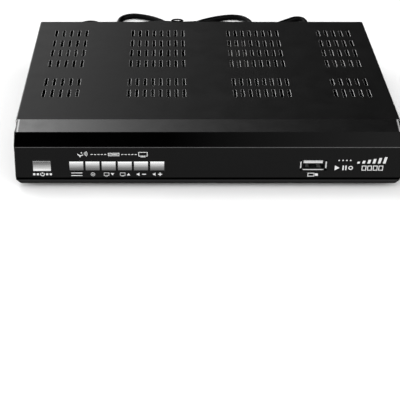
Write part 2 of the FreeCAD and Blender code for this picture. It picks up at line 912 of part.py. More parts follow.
def hdmi_socket_shell():
    z = z_board + hdmi_height / 2
    y1 = y_panel + hdmi_proud
    y0 = y1 - hdmi_depth
    half, low, high = hdmi_width / 2, z - hdmi_height / 2, z + hdmi_height / 2

    def d_shape(inset, start, depth):
        side = half - inset
        corners = [
            (side - hdmi_slope, low + inset),
            (side, low + hdmi_slope + inset),
            (side, high - inset),
        ]
        corners += [(-x, z1) for x, z1 in corners[::-1]]
        ring = [(Vector(hdmi_x + x, start, z1), hdmi_corner) for x, z1 in corners]
        return prism(ring, Vector(0, depth, 0))

    return d_shape(0, y0, hdmi_depth).cut(d_shape(hdmi_wall, y0 + hdmi_back, hdmi_depth))


def hdmi_socket_tongue():
    z = z_board + hdmi_height / 2
    y1 = y_panel + hdmi_proud
    y0 = y1 - hdmi_depth + hdmi_back
    return centred(hdmi_x, hdmi_tongue_width, y0, y1 - hdmi_back, z, hdmi_tongue_thickness)


# Parts on the boards ---------------------------------------------------------------------------------

chip_x = (main_x0 + main_x1) / 2 + chip_offset
chip_y = main_y0 + chip_setback
power_x = (power_x0 + power_x1) / 2
main_rear = board_y1 - tuner_depth - board_rear_gap
power_rear = board_y1 - terminal_depth - 2 * board_rear_gap
transformer_y = (power_y0 + power_rear) / 2 + transformer_offset
transformer_height = z_lid - lid_gap - z_board
joint_y = main_rear - board_hole_inset - harness_gap
harness_x = (main_x1 - header_edge - header_depth / 2, power_x0 + header_edge + header_depth / 2)
ribbon_end_y = main_y0 + header_edge


def heat_sink():
    """A base with upright fins, on the main chip."""
    z = z_board + chip_height
    x0, y0 = chip_x - sink_size / 2, chip_y - sink_size / 2
    base = block(x0, x0 + sink_size, y0, y0 + sink_size, z, z + sink_base)
    pitch = (sink_size - sink_fin) / (sink_fins - 1)
    fins = [
        block(x0 + pitch * i, x0 + pitch * i + sink_fin, y0, y0 + sink_size, z, z + sink_height)
        for i in range(sink_fins)
    ]
    return fused([base] + fins)


def board_capacitors():
    groups = [
        (chip_x, chip_y, chip_cans),
        (main_x0, chip_y, edge_cans),
        (power_x, transformer_y, power_cans),
    ]
    return [
        rod(radius, Vector(x + dx, y + dy, z_board), Z_AXIS, height)
        for x, y, cans in groups
        for dx, dy, radius, height in cans
    ]


def memory_chips():
    chips = [on_board(chip_x + dx, chip_y + dy, *memory_size) for dx, dy in memory_places]
    dx, dy = flash_place
    return chips + [on_board(chip_x + dx, chip_y + dy, *flash_size)]


def transformer_core():
    """Two ferrite E halves round the winding."""
    z = z_board + transformer_height / 2
    y0 = transformer_y - core_leg
    y1 = transformer_y + core_leg
    outer = centred(power_x, transformer_length, y0, y1, z, transformer_height)
    width, height = transformer_length - 2 * core_leg, transformer_height - core_leg
    return outer.cut(centred(power_x, width, y0 - past, y1 + past, z, height))


def transformer_winding():
    """The bobbin and its taped winding, between the two side legs and the yokes."""
    z = z_board + transformer_height / 2
    half_width_x, half_height = transformer_length / 2 - core_leg, (transformer_height - core_leg) / 2
    y0, y1 = transformer_y - transformer_width / 2, transformer_y + transformer_width / 2
    corners = [
        (Vector(power_x + side_x * half_width_x, y0, z + side_z * half_height), winding_corner)
        for side_x, side_z in ((-1, -1), (1, -1), (1, 1), (-1, 1))
    ]
    return prism(corners, Vector(0, y1 - y0, 0))


def bulk_capacitor():
    place = Vector(power_x + bulk_offset, power_y0 + bulk_setback, z_board)
    return rod(bulk_radius, place, Z_AXIS, z_lid - bulk_lid_gap - z_board)


def mains_fuse():
    """A glass fuse in its two clips, lying along Y."""
    x, y0 = power_x1 - fuse_margin, board_y1 - terminal_depth - fuse_length - fuse_gap
    z = z_board + fuse_lift + fuse_radius
    tube = rod(fuse_radius, Vector(x, y0, z), Y_AXIS, fuse_length)
    x0, x1 = x - clip_width / 2, x + clip_width / 2
    clips = [block(x0, x1, y, y + clip_length, z_board, z) for y in (y0, y0 + fuse_length - clip_length)]
    return fused([tube] + clips)


def header_places():
    """The harness's two headers, the ribbon's two, and the terminal block of the lead."""
    y0, z = y_front_board + board, z_board + header_height / 2
    return [
        on_board(harness_x[0], joint_y, header_depth, header_width, header_height),
        on_board(harness_x[1], joint_y, header_depth, header_width, header_height),
        on_board(ribbon_centre, ribbon_end_y + header_depth / 2, header_width, header_depth, header_height),
        centred(ribbon_centre, header_width, y0, y0 + header_depth, z, header_height),
        terminal_block(),
    ]


def terminal_block():
    """The screw terminal that the lead's cores go into."""
    y1 = y_inside - lead_tail - core_length
    return block(
        lead_x - terminal_width / 2,
        lead_x + terminal_width / 2,
        y1 - terminal_depth,
        y1,
        z_board,
        lead_z + 2 * core_wire_radius + terminal_cover,
    )


def power_harness():
    """Wires that arch from the power board's header to the main board's."""
    x0, x1 = harness_x
    z = z_board + header_height
    wires = []
    for i in range(wire_count):
        y = joint_y + wire_pitch * (i - (wire_count - 1) / 2)
        section = Part.Face(Part.Wire(Part.makeCircle(wire_radius, Vector(x0, y, z), Z_AXIS)))
        wires.append(section.revolve(Vector((x0 + x1) / 2, y, z), Y_AXIS, 180))
    return wires


def ribbon_cable():
    """A flat cable that rises once between the front board's header and the main board's."""
    y0 = y_front_board + board + header_depth
    y1 = ribbon_end_y
    z = z_board + header_height / 2
    middle = (y0 + y1) / 2
    lower = [(y0, z, 0), (middle, z + ribbon_rise, 1), (y1, z, 0)]
    upper = [(y, z1 + ribbon, r) for y, z1, r in lower[::-1]]
    return side_profile(lower + upper, ribbon_centre - ribbon_width / 2, ribbon_centre + ribbon_width / 2)


def mains_wires():
    """The lead's end inside the case: a length of sheath, then its two cores."""
    sheath_end, core_end = y_inside - lead_tail, y_inside - lead_tail - core_length
    sheath = rod(lead_diameter / 2, Vector(lead_x, sheath_end, lead_z), Y_AXIS, lead_tail - bush_flange)
    core_x = [lead_x + side * core_wire_spacing / 2 for side in (-1, 1)]
    cores = [rod(core_wire_radius, Vector(x, core_end, lead_z), Y_AXIS, core_length) for x in core_x]
    return fused([sheath] + cores)


# Mains lead ------------------------------------------------------------------------------------------


def strain_relief():
    """A moulded bush locked in the rear panel, with a tapered boot behind it."""
    inner_radius = bush_flange_radius - bush_inner_step
    inner = rod(inner_radius, Vector(lead_x, y_inside - bush_flange, lead_z), Y_AXIS, bush_flange)
    neck = rod(bush_neck_radius, Vector(lead_x, y_inside, lead_z), Y_AXIS, y_panel - y_inside)
    flange = rod(bush_flange_radius, Vector(lead_x, y_panel, lead_z), Y_AXIS, bush_flange)
    boot_start = Vector(lead_x, y_panel + bush_flange, lead_z)
    boot = Part.makeCone(boot_root_radius, boot_tip_radius, boot_length, boot_start, Y_AXIS)
    return fused([inner, neck, flange, boot])


# The lead's route in millimetres: across, behind the cover's rear, above the floor.
floor_lead = lead_diameter / 2
waist_width = waist_strands * lead_diameter
boot_tip = y_panel + bush_flange + boot_length - y_rear
lead_to_hank = [
    (lead_x, boot_tip, lead_z),
    (lead_x, 36.5, lead_z),
    (84.7, 46.7, 10.4),
    (83.5, 56.8, 4.4),
    (82.1, 66.6, floor_lead),
    (81.6, 74.6, floor_lead),
    (80.9, 79.4, floor_lead),
    (78.2, 82.6, floor_lead),
    (74.0, 82.8, floor_lead),
    (69.6, 79.2, floor_lead),
    (62.3, 72.5, floor_lead),
    (53.5, 64.2, floor_lead),
    (45.0, 57.0, floor_lead),
    (38.5, 49.5, floor_lead),
    (32.0, 43.0, floor_lead),
]
plug_x = -90.0
plug_y = 22.4
plug_z = plug_thickness / 2
hank_to_plug = [
    (-50.0, 56.5, floor_lead),
    (-58.0, 56.3, floor_lead),
    (-65.5, 59.0, floor_lead),
    (-70.5, 63.6, floor_lead),
    (-74.0, 69.2, floor_lead),
    (-78.9, 74.0, floor_lead),
    (-85.0, 74.0, floor_lead),
    (-90.4, 69.4, floor_lead),
    (-96.0, 63.0, floor_lead),
    (-101.5, 56.5, floor_lead),
    (-106.2, 49.0, 2.4),
    (-107.6, 39.5, 4.0),
    (-105.0, 29.5, 6.0),
    (-98.5, plug_y, plug_z),
    (plug_x, plug_y, plug_z),
]
hank_centre = (-13.0, 57.0)
left_loops = [
    (-36.0, 85.6),
    (-50.0, 91.1),
    (-61.0, 86.1),
    (-62.9, 72.0),
    (-62.7, 56.0),
    (-53.0, 41.0),
    (-38.0, 34.9),
    (-24.0, 38.0),
]
left_crossings = [
    (-26.0, 63.0),
    (-48.0, 63.0),
    (-62.7, 62.0),
    (-61.5, 53.0),
    (-52.0, 43.5),
    (-38.0, 40.0),
    (-24.0, 43.0),
]
right_loops = [
    (10.0, 85.1),
    (26.0, 89.1),
    (37.5, 85.1),
    (42.0, 72.0),
    (42.3, 54.0),
    (35.0, 41.0),
    (18.0, 33.6),
    (3.0, 37.0),
]
right_crossings = [
    (4.0, 64.0),
    (26.0, 64.0),
    (42.1, 63.0),
    (41.5, 54.0),
    (33.0, 43.5),
    (18.0, 40.0),
    (2.0, 43.0),
]


def lead_tube(route):
    """A round tube along straight runs joined by tangent arcs. Prints its length and its radii."""
    points = [Vector(x, y_rear + y, z) for x, y, z in route]
    edges = []
    radii = []
    start = points[0]
    for before, corner, after in zip(points, points[1:], points[2:]):
        into, out = (corner - before), (after - corner)
        shorter = min(into.Length, out.Length)
        turn = into.getAngle(out)
        reach = 0.45 * shorter
        radius = reach / math.tan(turn / 2)
        first = corner - into.normalize() * reach
        last = corner + out.normalize() * reach
        inward = (out - into).normalize()
        middle = corner + inward * (radius / math.cos(turn / 2) - radius)
        edges.append(Part.LineSegment(start, first).toShape())
        edges.append(Part.Arc(first, middle, last).toShape())
        radii.append(round(radius, 1))
        start = last
    edges.append(Part.LineSegment(start, points[-1]).toShape())
    path = Part.Wire(edges)
    circle = Part.Wire(Part.makeCircle(lead_diameter / 2, points[0], points[1] - points[0]))
    tube = path.makePipeShell([circle], True, False)
    expected = math.pi * (lead_diameter / 2) ** 2 * path.Length
    print(f"tube {path.Length:.1f} mm, volume {tube.Volume / expected:.4f} of its section's, radii {radii}")
    return tube


def mains_lead():
    return [lead_tube(lead_to_hank), lead_tube(hank_to_plug)]


def cord_hank():
    """The outer shape of the lead's folded length: flat loops, crossings on them and the waist."""
    cx, cy = hank_centre
    half_waist = waist_width / 2
    low_y, high_y = y_rear + cy - half_waist, y_rear + cy + half_waist
    lobes = []
    for side, lobe, height in (
        (-1, left_loops, loop_height),
        (-1, left_crossings, hank_height),
        (1, right_loops, loop_height),
        (1, right_crossings, hank_height),
    ):
        corners = [(x, y_rear + y, lobe_corner) for x, y in lobe]
        x = cx + side * lobe_start
        corners += [(x, low_y, lobe_start), (x, high_y, lobe_start)]
        lobes.append(plan_profile(corners, 0, height))
    low = tie_thickness + tie_clearance
    tunnel = block(cx - tie_tunnel / 2, cx + tie_tunnel / 2, low_y - half_waist, high_y + half_waist, 0, low)
    waist = block(cx - waist_length / 2, cx + waist_length / 2, low_y, high_y, low, hank_height)
    return fused(lobes + [waist]).cut(tunnel)


def hank_tie():
    """A flat strap round the hank's waist."""
    cx, cy = hank_centre
    inner = waist_width / 2 + tie_clearance
    outer = inner + tie_thickness
    low, high = tie_thickness, hank_height + tie_clearance
    y, z = y_rear + cy, (low + high) / 2
    ring = centred(cx, tie_width, y - outer, y + outer, z, high - low + 2 * tie_thickness)
    return ring.cut(centred(cx, 2 * tie_width, y - inner, y + inner, z, high - low))


def plug_body():
    """A flat two-pin plug lying on the floor, its neck towards the lead."""
    y = y_rear + plug_y
    half = plug_width / 2
    near_side = [
        (plug_x, plug_neck, plug_neck_corner),
        (plug_x + plug_shoulder, half, plug_shoulder_corner),
        (plug_x + plug_length, half, plug_face_corner),
    ]
    corners = [(x, y - across, r) for x, across, r in near_side]
    corners += [(x, y + across, r) for x, across, r in near_side[::-1]]
    return plan_profile(corners, 0, plug_thickness)


def plug_pins():
    y = y_rear + plug_y
    x = plug_x + plug_length
    pins = []
    for dy in (-pin_spacing / 2, pin_spacing / 2):
        pin = rod(pin_radius, Vector(x, y + dy, plug_z), X_AXIS, pin_length)
        tip = [edge for edge in pin.Edges if edge.CenterOfMass.x > x + pin_length - 0.1]
        pins.append(pin.makeFillet(pin_tip, tip))
    return pins


def nodes():
    """Every node's solid or solids, by name."""
    made = {
        "top_cover": top_cover(),
        "chassis_tray": chassis_tray(),
        "cover_screws": cover_screws(),
        "rubber_feet": rubber_feet(),
        "front_fascia": front_fascia(),
        "front_panel": front_panel(),
        "tact_switches": tact_switches(),
        "front_board": front_board(),
        "ir_receiver": ir_receiver(),
        "led_display": led_display(),
        "usb_socket_shell": usb_socket_shell(),
        "usb_socket_tongue": usb_socket_tongue(),
        "main_board": tray_board(main_x0, main_x1, main_y0, board_y1, main_holes()),
        "power_board": tray_board(power_x0, power_x1, power_y0, board_y1, power_holes()),
        "board_standoffs": board_standoffs(),
        "board_screws": board_screws(),
        "tuner_can": tuner_can(),
        "lnb_input": f_connector(f_places()[0]),
        "loop_output": f_connector(f_places()[1]),
        "f_connector_insulators": f_insulators(),
        "f_connector_nuts": f_nuts(),
        "av_jack_block": av_jack_block(),
        "rca_shells": [rca_shell(x) for x in rca_places()],
        "video_jack_insert": jack_insert(0),
        "left_jack_insert": jack_insert(1),
        "right_jack_insert": jack_insert(2),
        "hdmi_socket_shell": hdmi_socket_shell(),
        "hdmi_socket_tongue": hdmi_socket_tongue(),
        "main_chip": on_board(chip_x, chip_y, chip_size, chip_size, chip_height),
        "heat_sink": heat_sink(),
        "memory_chips": memory_chips(),
        "board_capacitors": board_capacitors(),
        "transformer_core": transformer_core(),
        "transformer_winding": transformer_winding(),
        "bulk_capacitor": bulk_capacitor(),
        "mains_fuse": mains_fuse(),
        "wire_headers": header_places(),
        "power_harness": power_harness(),
        "ribbon_cable": ribbon_cable(),
        "mains_wires": mains_wires(),
        "strain_relief": strain_relief(),
        "mains_lead": mains_lead(),
        "cord_hank": cord_hank(),
        "hank_tie": hank_tie(),
        "plug_body": plug_body(),
        "plug_pins": plug_pins(),
    }
    for name in KEYS:
        made[f"{name}_key"] = key_cap(name)
        made[f"{name}_plunger"] = key_plunger(name)
    return made


for node, made in nodes().items():
    shape = Part.makeCompound(made) if isinstance(made, list) else made
    shape.exportStep(f"parts/{node}.step")
    if not shape.isValid() or not shape.Solids:
        print(f"{node} is not a valid solid")
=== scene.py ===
# %% [markdown]
# # A satellite TV receiver, dressed in Blender
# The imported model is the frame: its nodes are metric, named, and already ride on their bodies. This lesson
# dresses them. A node whose mesh is right keeps it and gets a finish, and a node whose edges or surface need
# more than the solid has is replaced by a piece that starts from a copy of it.

# %% Load the frame
import bmesh
import bpy
import math
from mathutils import Matrix, Vector


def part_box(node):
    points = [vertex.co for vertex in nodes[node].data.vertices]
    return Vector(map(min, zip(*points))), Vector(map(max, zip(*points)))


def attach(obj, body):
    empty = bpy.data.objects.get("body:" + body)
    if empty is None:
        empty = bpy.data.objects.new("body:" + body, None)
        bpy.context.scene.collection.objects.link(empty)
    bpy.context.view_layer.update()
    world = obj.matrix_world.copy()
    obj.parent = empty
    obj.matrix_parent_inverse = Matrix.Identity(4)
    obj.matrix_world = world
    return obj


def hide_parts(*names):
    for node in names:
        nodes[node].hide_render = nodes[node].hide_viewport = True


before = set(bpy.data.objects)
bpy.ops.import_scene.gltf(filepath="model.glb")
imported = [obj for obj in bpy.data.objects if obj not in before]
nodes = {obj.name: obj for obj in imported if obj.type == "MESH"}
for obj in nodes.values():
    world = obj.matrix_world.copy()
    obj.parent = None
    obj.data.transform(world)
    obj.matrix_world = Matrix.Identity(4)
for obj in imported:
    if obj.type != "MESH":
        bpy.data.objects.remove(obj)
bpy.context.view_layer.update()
mm = 0.001


# %% [markdown]
# ## The camera
# A long lens from a little left of the middle, above the front, keeps the box's sides nearly parallel. The
# right end of the front runs out of the picture. The camera could be turned for that, but then the front's
# edges would run at an angle, so the lens is shifted sideways instead. Depth of field stays off, so every
# slot is sharp.

# %% Make the camera
picture_width, picture_height = 400, 414
focal_pixels = 1057.0
vanishing_x = 167.8
face_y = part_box("front_panel")[0][1]
camera_place = (-0.0232, face_y - 0.5187, 0.3228)
camera_pitch = 32.92

camera_data = bpy.data.cameras.new("picture_camera")
camera_data.lens = focal_pixels * camera_data.sensor_width / picture_height
camera_data.shift_x = (picture_width / 2 - vanishing_x) / picture_height
camera_data.clip_end = 20
camera = bpy.data.objects.new("picture_camera", camera_data)
camera.location = camera_place
camera.rotation_euler = (math.radians(90 - camera_pitch), 0, 0)
bpy.context.collection.objects.link(camera)
bpy.context.scene.camera = camera
print("lens", round(camera_data.lens, 1), "shift", round(camera_data.shift_x, 4))


# %% [markdown]
# ## Small helpers for meshes
# Every finished piece is a plain mesh whose object sits at the origin, so its material can read Object
# coordinates as real places on the receiver. These helpers turn a bmesh or a live object into such a piece,
# and shade it smooth except where faces meet at more than a given angle. Blender's operators could do the
# same, but they act on whatever is selected, and a direct call always means the piece that it names.

# %% Mesh helpers
def smooth_by_angle(mesh, degrees=35):
    mesh.shade_smooth()
    mesh.set_sharp_from_angle(angle=math.radians(degrees))


def piece_from(name, mesh):
    """An object for the mesh, in the scene and at the origin."""
    piece = bpy.data.objects.new(name, mesh)
    bpy.context.collection.objects.link(piece)
    return piece


def mesh_of(bm, name):
    """The bmesh as a mesh of this name. The bmesh is freed."""
    mesh = bpy.data.meshes.new(name)
    bm.to_mesh(mesh)
    bm.free()
    return mesh


def piece_from_bmesh(name, bm, degrees=35):
    """A piece from a bmesh, its faces turned outwards and shaded smooth up to the angle."""
    bmesh.ops.recalc_face_normals(bm, faces=bm.faces)
    mesh = mesh_of(bm, name)
    smooth_by_angle(mesh, degrees)
    return piece_from(name, mesh)


def plain_mesh(live, name=None, keep=False):
    """The evaluated mesh of a live object, its place applied. The live object is removed."""
    bpy.context.view_layer.update()
    evaluated = live.evaluated_get(bpy.context.evaluated_depsgraph_get())
    mesh = bpy.data.meshes.new_from_object(evaluated)
    mesh.transform(live.matrix_world)
    mesh.name = name or live.name
    if not keep:
        bpy.data.objects.remove(live)
    return mesh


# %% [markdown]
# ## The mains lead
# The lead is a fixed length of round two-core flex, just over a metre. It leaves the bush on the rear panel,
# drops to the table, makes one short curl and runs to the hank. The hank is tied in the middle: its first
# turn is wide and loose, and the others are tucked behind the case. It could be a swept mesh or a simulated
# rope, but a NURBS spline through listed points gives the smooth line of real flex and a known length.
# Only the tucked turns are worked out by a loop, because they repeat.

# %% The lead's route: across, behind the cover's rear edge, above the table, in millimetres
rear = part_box("top_cover")[1][1]
lead = 4.2
on_table = lead / 2
tie_x = -13.0
lead_to_hank = [
    (85.0, 26.2, 16.0), (85.0, 36.5, 16.0), (84.7, 46.7, 10.4), (83.5, 56.8, 4.4), (82.1, 66.6, on_table),
    (81.6, 74.6, on_table), (81.0, 79.2, on_table), (78.2, 82.2, on_table), (74.0, 82.0, on_table),
    (69.6, 78.4, on_table), (62.3, 72.5, on_table), (53.5, 64.2, on_table), (45.0, 57.0, on_table),
    (38.5, 49.5, on_table), (32.0, 43.0, on_table), (22.5, 37.0, on_table), (11.0, 36.2, on_table),
    (1.0, 40.0, on_table), (-5.5, 45.6, 2.5),
]
wide_left_loop = [
    (-21.0, 46.0, 2.4), (-29.0, 40.5, on_table), (-36.0, 37.6, on_table), (-43.0, 37.0, on_table),
    (-51.0, 39.5, on_table), (-57.0, 46.0, 3.4), (-60.0, 53.0, 6.4), (-60.8, 60.0, 6.4), (-60.6, 67.5, 3.6),
    (-60.3, 75.0, on_table), (-58.8, 83.6, on_table), (-51.0, 88.4, on_table), (-42.5, 86.3, on_table),
    (-35.0, 82.4, on_table), (-28.5, 77.0, on_table), (-22.5, 69.8, on_table), (-17.5, 65.0, 2.4),
]
wide_right_loop = [
    (-8.5, 64.4, 2.4), (-4.5, 67.9, on_table), (-0.8, 73.4, on_table), (6.5, 78.7, on_table),
    (15.5, 83.2, on_table), (25.0, 86.0, on_table), (33.6, 84.5, on_table), (38.4, 77.6, on_table),
    (40.0, 70.0, 2.6), (40.4, 62.0, 5.4), (38.8, 54.0, 6.4), (35.0, 47.5, 6.4), (29.5, 43.3, 3.8),
    (22.0, 41.2, on_table), (12.0, 41.0, on_table), (2.5, 44.2, 3.4), (-5.0, 49.0, 5.4),
]
hank_to_plug = [
    (-22.0, 57.0, 5.2), (-31.0, 57.0, 3.0), (-40.0, 56.8, on_table), (-50.0, 56.5, on_table),
    (-58.0, 56.3, on_table), (-65.5, 59.0, on_table), (-70.5, 63.6, on_table), (-74.0, 69.2, on_table),
    (-78.9, 74.0, on_table), (-85.0, 74.0, on_table), (-90.4, 69.4, on_table), (-96.0, 63.0, on_table),
    (-101.5, 56.5, on_table), (-106.2, 49.0, 2.4), (-107.6, 39.5, 4.0), (-105.0, 29.5, 6.0),
    (-98.5, 22.4, 6.85), (-90.0, 22.4, 6.85),
]
print("hand-chosen points", len(lead_to_hank + wide_left_loop + wide_right_loop + hank_to_plug))

# %% The tucked turns: where each strand lies at the tie, in millimetres
tie_lift = 0.7
nesting = 0.87
near_strands = [(50.7, 0), (52.8, 1), (54.9, 0), (57.0, 1)]
far_strands = [(63.3, 0), (61.2, 1), (59.1, 0)]
turns = [
    {"left": (43.2, 41.2, 70.9), "right": (48.5, 45.4, 70.9)},
    {"left": (38.8, 45.4, 66.7), "right": (44.0, 49.6, 66.7)},
]
print("strands at the tie", len(near_strands) + len(far_strands))


def at_tie(strand):
    """A strand's place under the tie. A strand of the upper layer nests between two of the lower one."""
    behind, layer = strand
    return (tie_x, behind, on_table + tie_lift + layer * nesting * lead)


# %% A tucked turn's legs and folds
leg_shape = [(0.27, 0.28), (0.53, 0.68), (0.80, 0.95)]
fold_steps = 6
crossing_lifts = [(5.0, 4.5), (9.5, 2.4)]


def tucked_leg(side, strand, run, length):
    """From the tie out to a straight run: an upper strand comes down as its neighbour moves away."""
    behind, layer = strand
    points = []
    for part, share in leg_shape:
        above = math.sqrt(1 - ((1 + share) / 2) ** 2) * lead * layer
        height = on_table + tie_lift * (1 - share) + above
        points.append((tie_x + side * part * length, behind + (run - behind) * share, height))
    return points


def crossing_behind(strand, across):
    """How far behind the cover a crossing strand lies at this place across, or a place far from them."""
    for (x0, y0), (x1, y1) in zip(strand, strand[1:]):
        if x0 <= across <= x1:
            return y0 + (y1 - y0) * (across - x0) / (x1 - x0)
    return -10 * lead


def tucked_fold(side, reach, near_run, far_run, under):
    """Round one end, from the near run to the far run, in a low hump over the strand that lies under it."""
    radius = (far_run - near_run) / 2
    x, y = tie_x + side * (reach - radius), (near_run + far_run) / 2
    out = radius / math.cos(math.pi / (2 * fold_steps))
    points = []
    for step in range(fold_steps):
        angle = math.pi * ((step + 0.5) / fold_steps - 0.5)
        across, behind = x + side * out * math.cos(angle), y + out * math.sin(angle)
        gap = abs(behind - crossing_behind(under, across))
        lift = next((rise for near, rise in crossing_lifts if gap < near), 0.0)
        points.append((across, behind, on_table + lift))
    return points


def tucked_half(side, size, near, far, under):
    """One end of a turn, near strand first."""
    reach, near_run, far_run = size
    length = reach - (far_run - near_run) / 2
    fold = tucked_fold(side, reach, near_run, far_run, under)
    return tucked_leg(side, near, near_run, length) + fold + tucked_leg(side, far, far_run, length)[::-1]


# %% The whole route
leaving = [(-110.0, 56.6), (tie_x, 56.6)]
arriving = [(22.5, 37.0), (32.0, 43.0), (38.5, 49.5), (45.0, 57.0), (53.5, 64.2)]
route = lead_to_hank + [at_tie(near_strands[0])] + wide_left_loop + [at_tie(far_strands[0])]
route += wide_right_loop + [at_tie(near_strands[1])]
for number, turn in enumerate(turns, start=1):
    far = far_strands[number]
    route += tucked_half(-1, turn["left"], near_strands[number], far, leaving) + [at_tie(far)]
    route += tucked_half(1, turn["right"], near_strands[number + 1], far, arriving)[::-1]
    route += [at_tie(near_strands[number + 1])]
route += hank_to_plug
print("the lead's route has", len(route), "points")

# %% The lead as a bevelled spline
curve = bpy.data.curves.new("mains_flex", "CURVE")
curve.dimensions = "3D"
curve.resolution_u = 8
curve.use_fill_caps = True
spline = curve.splines.new("NURBS")
spline.points.add(len(route) - 1)
for point, (across, behind, height) in zip(spline.points, route):
    point.co = (across * mm, rear + behind * mm, height * mm, 1)
spline.order_u = 3
spline.use_endpoint_u = True
flex = bpy.data.objects.new("mains_flex", curve)
bpy.context.collection.objects.link(flex)

line_mesh = plain_mesh(flex, keep=True)
curve.bevel_depth = lead / 2 * mm
curve.bevel_resolution = 4


# %% [markdown]
# ## Pipes along a line
# The tie is a thin wire, and the plug has raised grip lines, so a small pipe maker is useful. A tube could be
# built ring by ring in mesh code, but a curve with a round bevel makes it in one step and caps its ends.

# %% Pipe maker
def pipe_mesh(name, points, radius, closed=False):
    """A round tube through the points, as a mesh with capped ends."""
    path = bpy.data.curves.new(name, "CURVE")
    path.dimensions = "3D"
    path.resolution_u = 4
    path.bevel_depth = radius
    path.bevel_resolution = 3
    path.use_fill_caps = not closed
    line = path.splines.new("NURBS")
    line.points.add(len(points) - 1)
    for point, place in zip(line.points, points):
        point.co = (*place, 1)
    line.order_u = 3
    line.use_endpoint_u = not closed
    line.use_cyclic_u = closed
    live = bpy.data.objects.new(name, path)
    bpy.context.collection.objects.link(live)
    mesh = plain_mesh(live, name)
    smooth_by_angle(mesh, 60)
    return mesh


def joined(name, meshes):
    """Several meshes as one piece, which has no finish yet."""
    bm = bmesh.new()
    for mesh in meshes:
        bm.from_mesh(mesh)
    return piece_from_bmesh(name, bm)


# %% [markdown]
# ## The tie round the hank
# The tie is a plastic-covered wire. It goes once round the seven strands at the waist, its ends are twisted
# together towards the case, and a small loop of it stands up over the strands, which is the only part that
# shows past the cover. It could be one long knotted curve, but three simple shapes are easier to place: a
# squarish ring, a flat loop, and two helices for the twist.

# %% The tie's ring
tie_low, tie_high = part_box("hank_tie")
tie_middle = (Vector(tie_low) + Vector(tie_high)) / 2
tie_wire = 0.55 * mm
half_across = (tie_high[1] - tie_low[1]) / 2 - tie_wire
half_up = (tie_high[2] - tie_low[2]) / 2 - tie_wire
ring_steps, squareness = 24, 0.55
ring_points = []
for step in range(ring_steps):
    angle = 2 * math.pi * step / ring_steps
    cosine, sine = math.cos(angle), math.sin(angle)
    bulge = 1 / max(abs(cosine), abs(sine)) ** squareness
    across = half_across * min(1, bulge * abs(cosine)) * math.copysign(1, cosine)
    up = half_up * min(1, bulge * abs(sine)) * math.copysign(1, sine)
    ring_points.append(tie_middle + Vector((0, across, up)))
tie_meshes = [pipe_mesh("tie_ring", ring_points, tie_wire, closed=True)]
print("tie ring", round(2 * half_across / mm, 1), "by", round(2 * half_up / mm, 1), "mm")

# %% The tie's loop: it rises more than it sags
loop_x, loop_y, loop_z = -16.1 * mm, rear + 58.5 * mm, 10.4 * mm
loop_half_width, loop_rise, loop_sag, loop_wire = 4.1 * mm, 1.35 * mm, 0.35 * mm, 0.6 * mm
loop_steps = 16
loop_points = []
for step in range(loop_steps):
    angle = 2 * math.pi * step / loop_steps
    up = math.sin(angle)
    height = loop_z + (loop_rise if up > 0 else loop_sag) * up
    loop_points.append((loop_x + loop_half_width * math.cos(angle), loop_y, height))
tie_meshes.append(pipe_mesh("tie_loop", loop_points, loop_wire, closed=True))
print("tie loop top", round((loop_z + loop_rise + loop_wire) / mm, 1), "mm up")

# %% The tie's twisted ends: they run towards the case and down a little
twist_turns, twist_length, twist_steps = 3, 6 * mm, 8
twist_start, twist_rise, twist_drop = 1.5 * mm, 1.2 * mm, 0.6 * mm
for phase in (0, math.pi):
    strand = []
    for step in range(twist_steps * twist_turns + 1):
        part = step / (twist_steps * twist_turns)
        angle = phase + 2 * math.pi * twist_turns * part
        across, behind = tie_wire * math.cos(angle), -twist_start - part * twist_length
        height = half_up + twist_rise - twist_drop * part + tie_wire * math.sin(angle)
        strand.append(tie_middle + Vector((across, behind, height)))
    tie_meshes.append(pipe_mesh("tie_twist", strand, tie_wire))
tie = joined("hank_tie_wire", tie_meshes)
print("tie wire", len(tie.data.polygons), "faces")


# %% [markdown]
# ## The table and the light
# The receiver stands on a plain pale table under soft light. Two large soft panels light the table and shade
# the front gently, and the sky behind everything is a quiet gradient: it is bright low in front, where the
# keys look, and behind on the left, where the cover and the ledge look, and dim above, so that gloss black
# stays black. More lamps could give the same reflections, but each would add a hard-edged patch to the gloss.
# A pale wall stands all round, far off, for low views: only the camera sees it, so it neither blocks the
# sky's light nor shows in the gloss.

# %% The table and the far wall
reach = 6.0
wall_radius, wall_height, wall_middle = 0.97 * reach, 6.0, 2.99
corners = [(-reach, -reach, 0), (reach, -reach, 0), (reach, reach, 0), (-reach, reach, 0)]
floor_mesh = bpy.data.meshes.new("table_top")
floor_mesh.from_pydata(corners, [], [(0, 1, 2, 3)])
table_top = piece_from("table_top", floor_mesh)
table_top.visible_glossy = False

wall_bm = bmesh.new()
bmesh.ops.create_cone(wall_bm, cap_ends=False, segments=96, radius1=wall_radius, radius2=wall_radius,
                      depth=wall_height, matrix=Matrix.Translation((0, 0, wall_middle)))
wall = piece_from_bmesh("pale_wall", wall_bm, 60)
wall.visible_diffuse = False
wall.visible_glossy = False
wall.visible_transmission = False
wall.visible_shadow = False
print("wall", len(wall.data.polygons), "faces")

# %% Two soft panels
def soft_panel(name, place, size, watts):
    """A rectangular light that faces the receiver and doesn't show in its gloss."""
    data = bpy.data.lights.new(name, "AREA")
    data.shape = "RECTANGLE"
    data.size, data.size_y = size
    data.energy = watts
    lamp = bpy.data.objects.new(name, data)
    lamp.location = place
    lamp.rotation_euler = (-Vector(place)).to_track_quat("-Z", "Y").to_euler()
    lamp.visible_glossy = False
    bpy.context.collection.objects.link(lamp)
    print(name, watts, "W")


soft_panel("key_panel", (-0.5, -1.3, 1.7), (1.4, 1.0), 10)
soft_panel("top_panel", (0.2, 0.4, 2.0), (1.8, 1.8), 7)

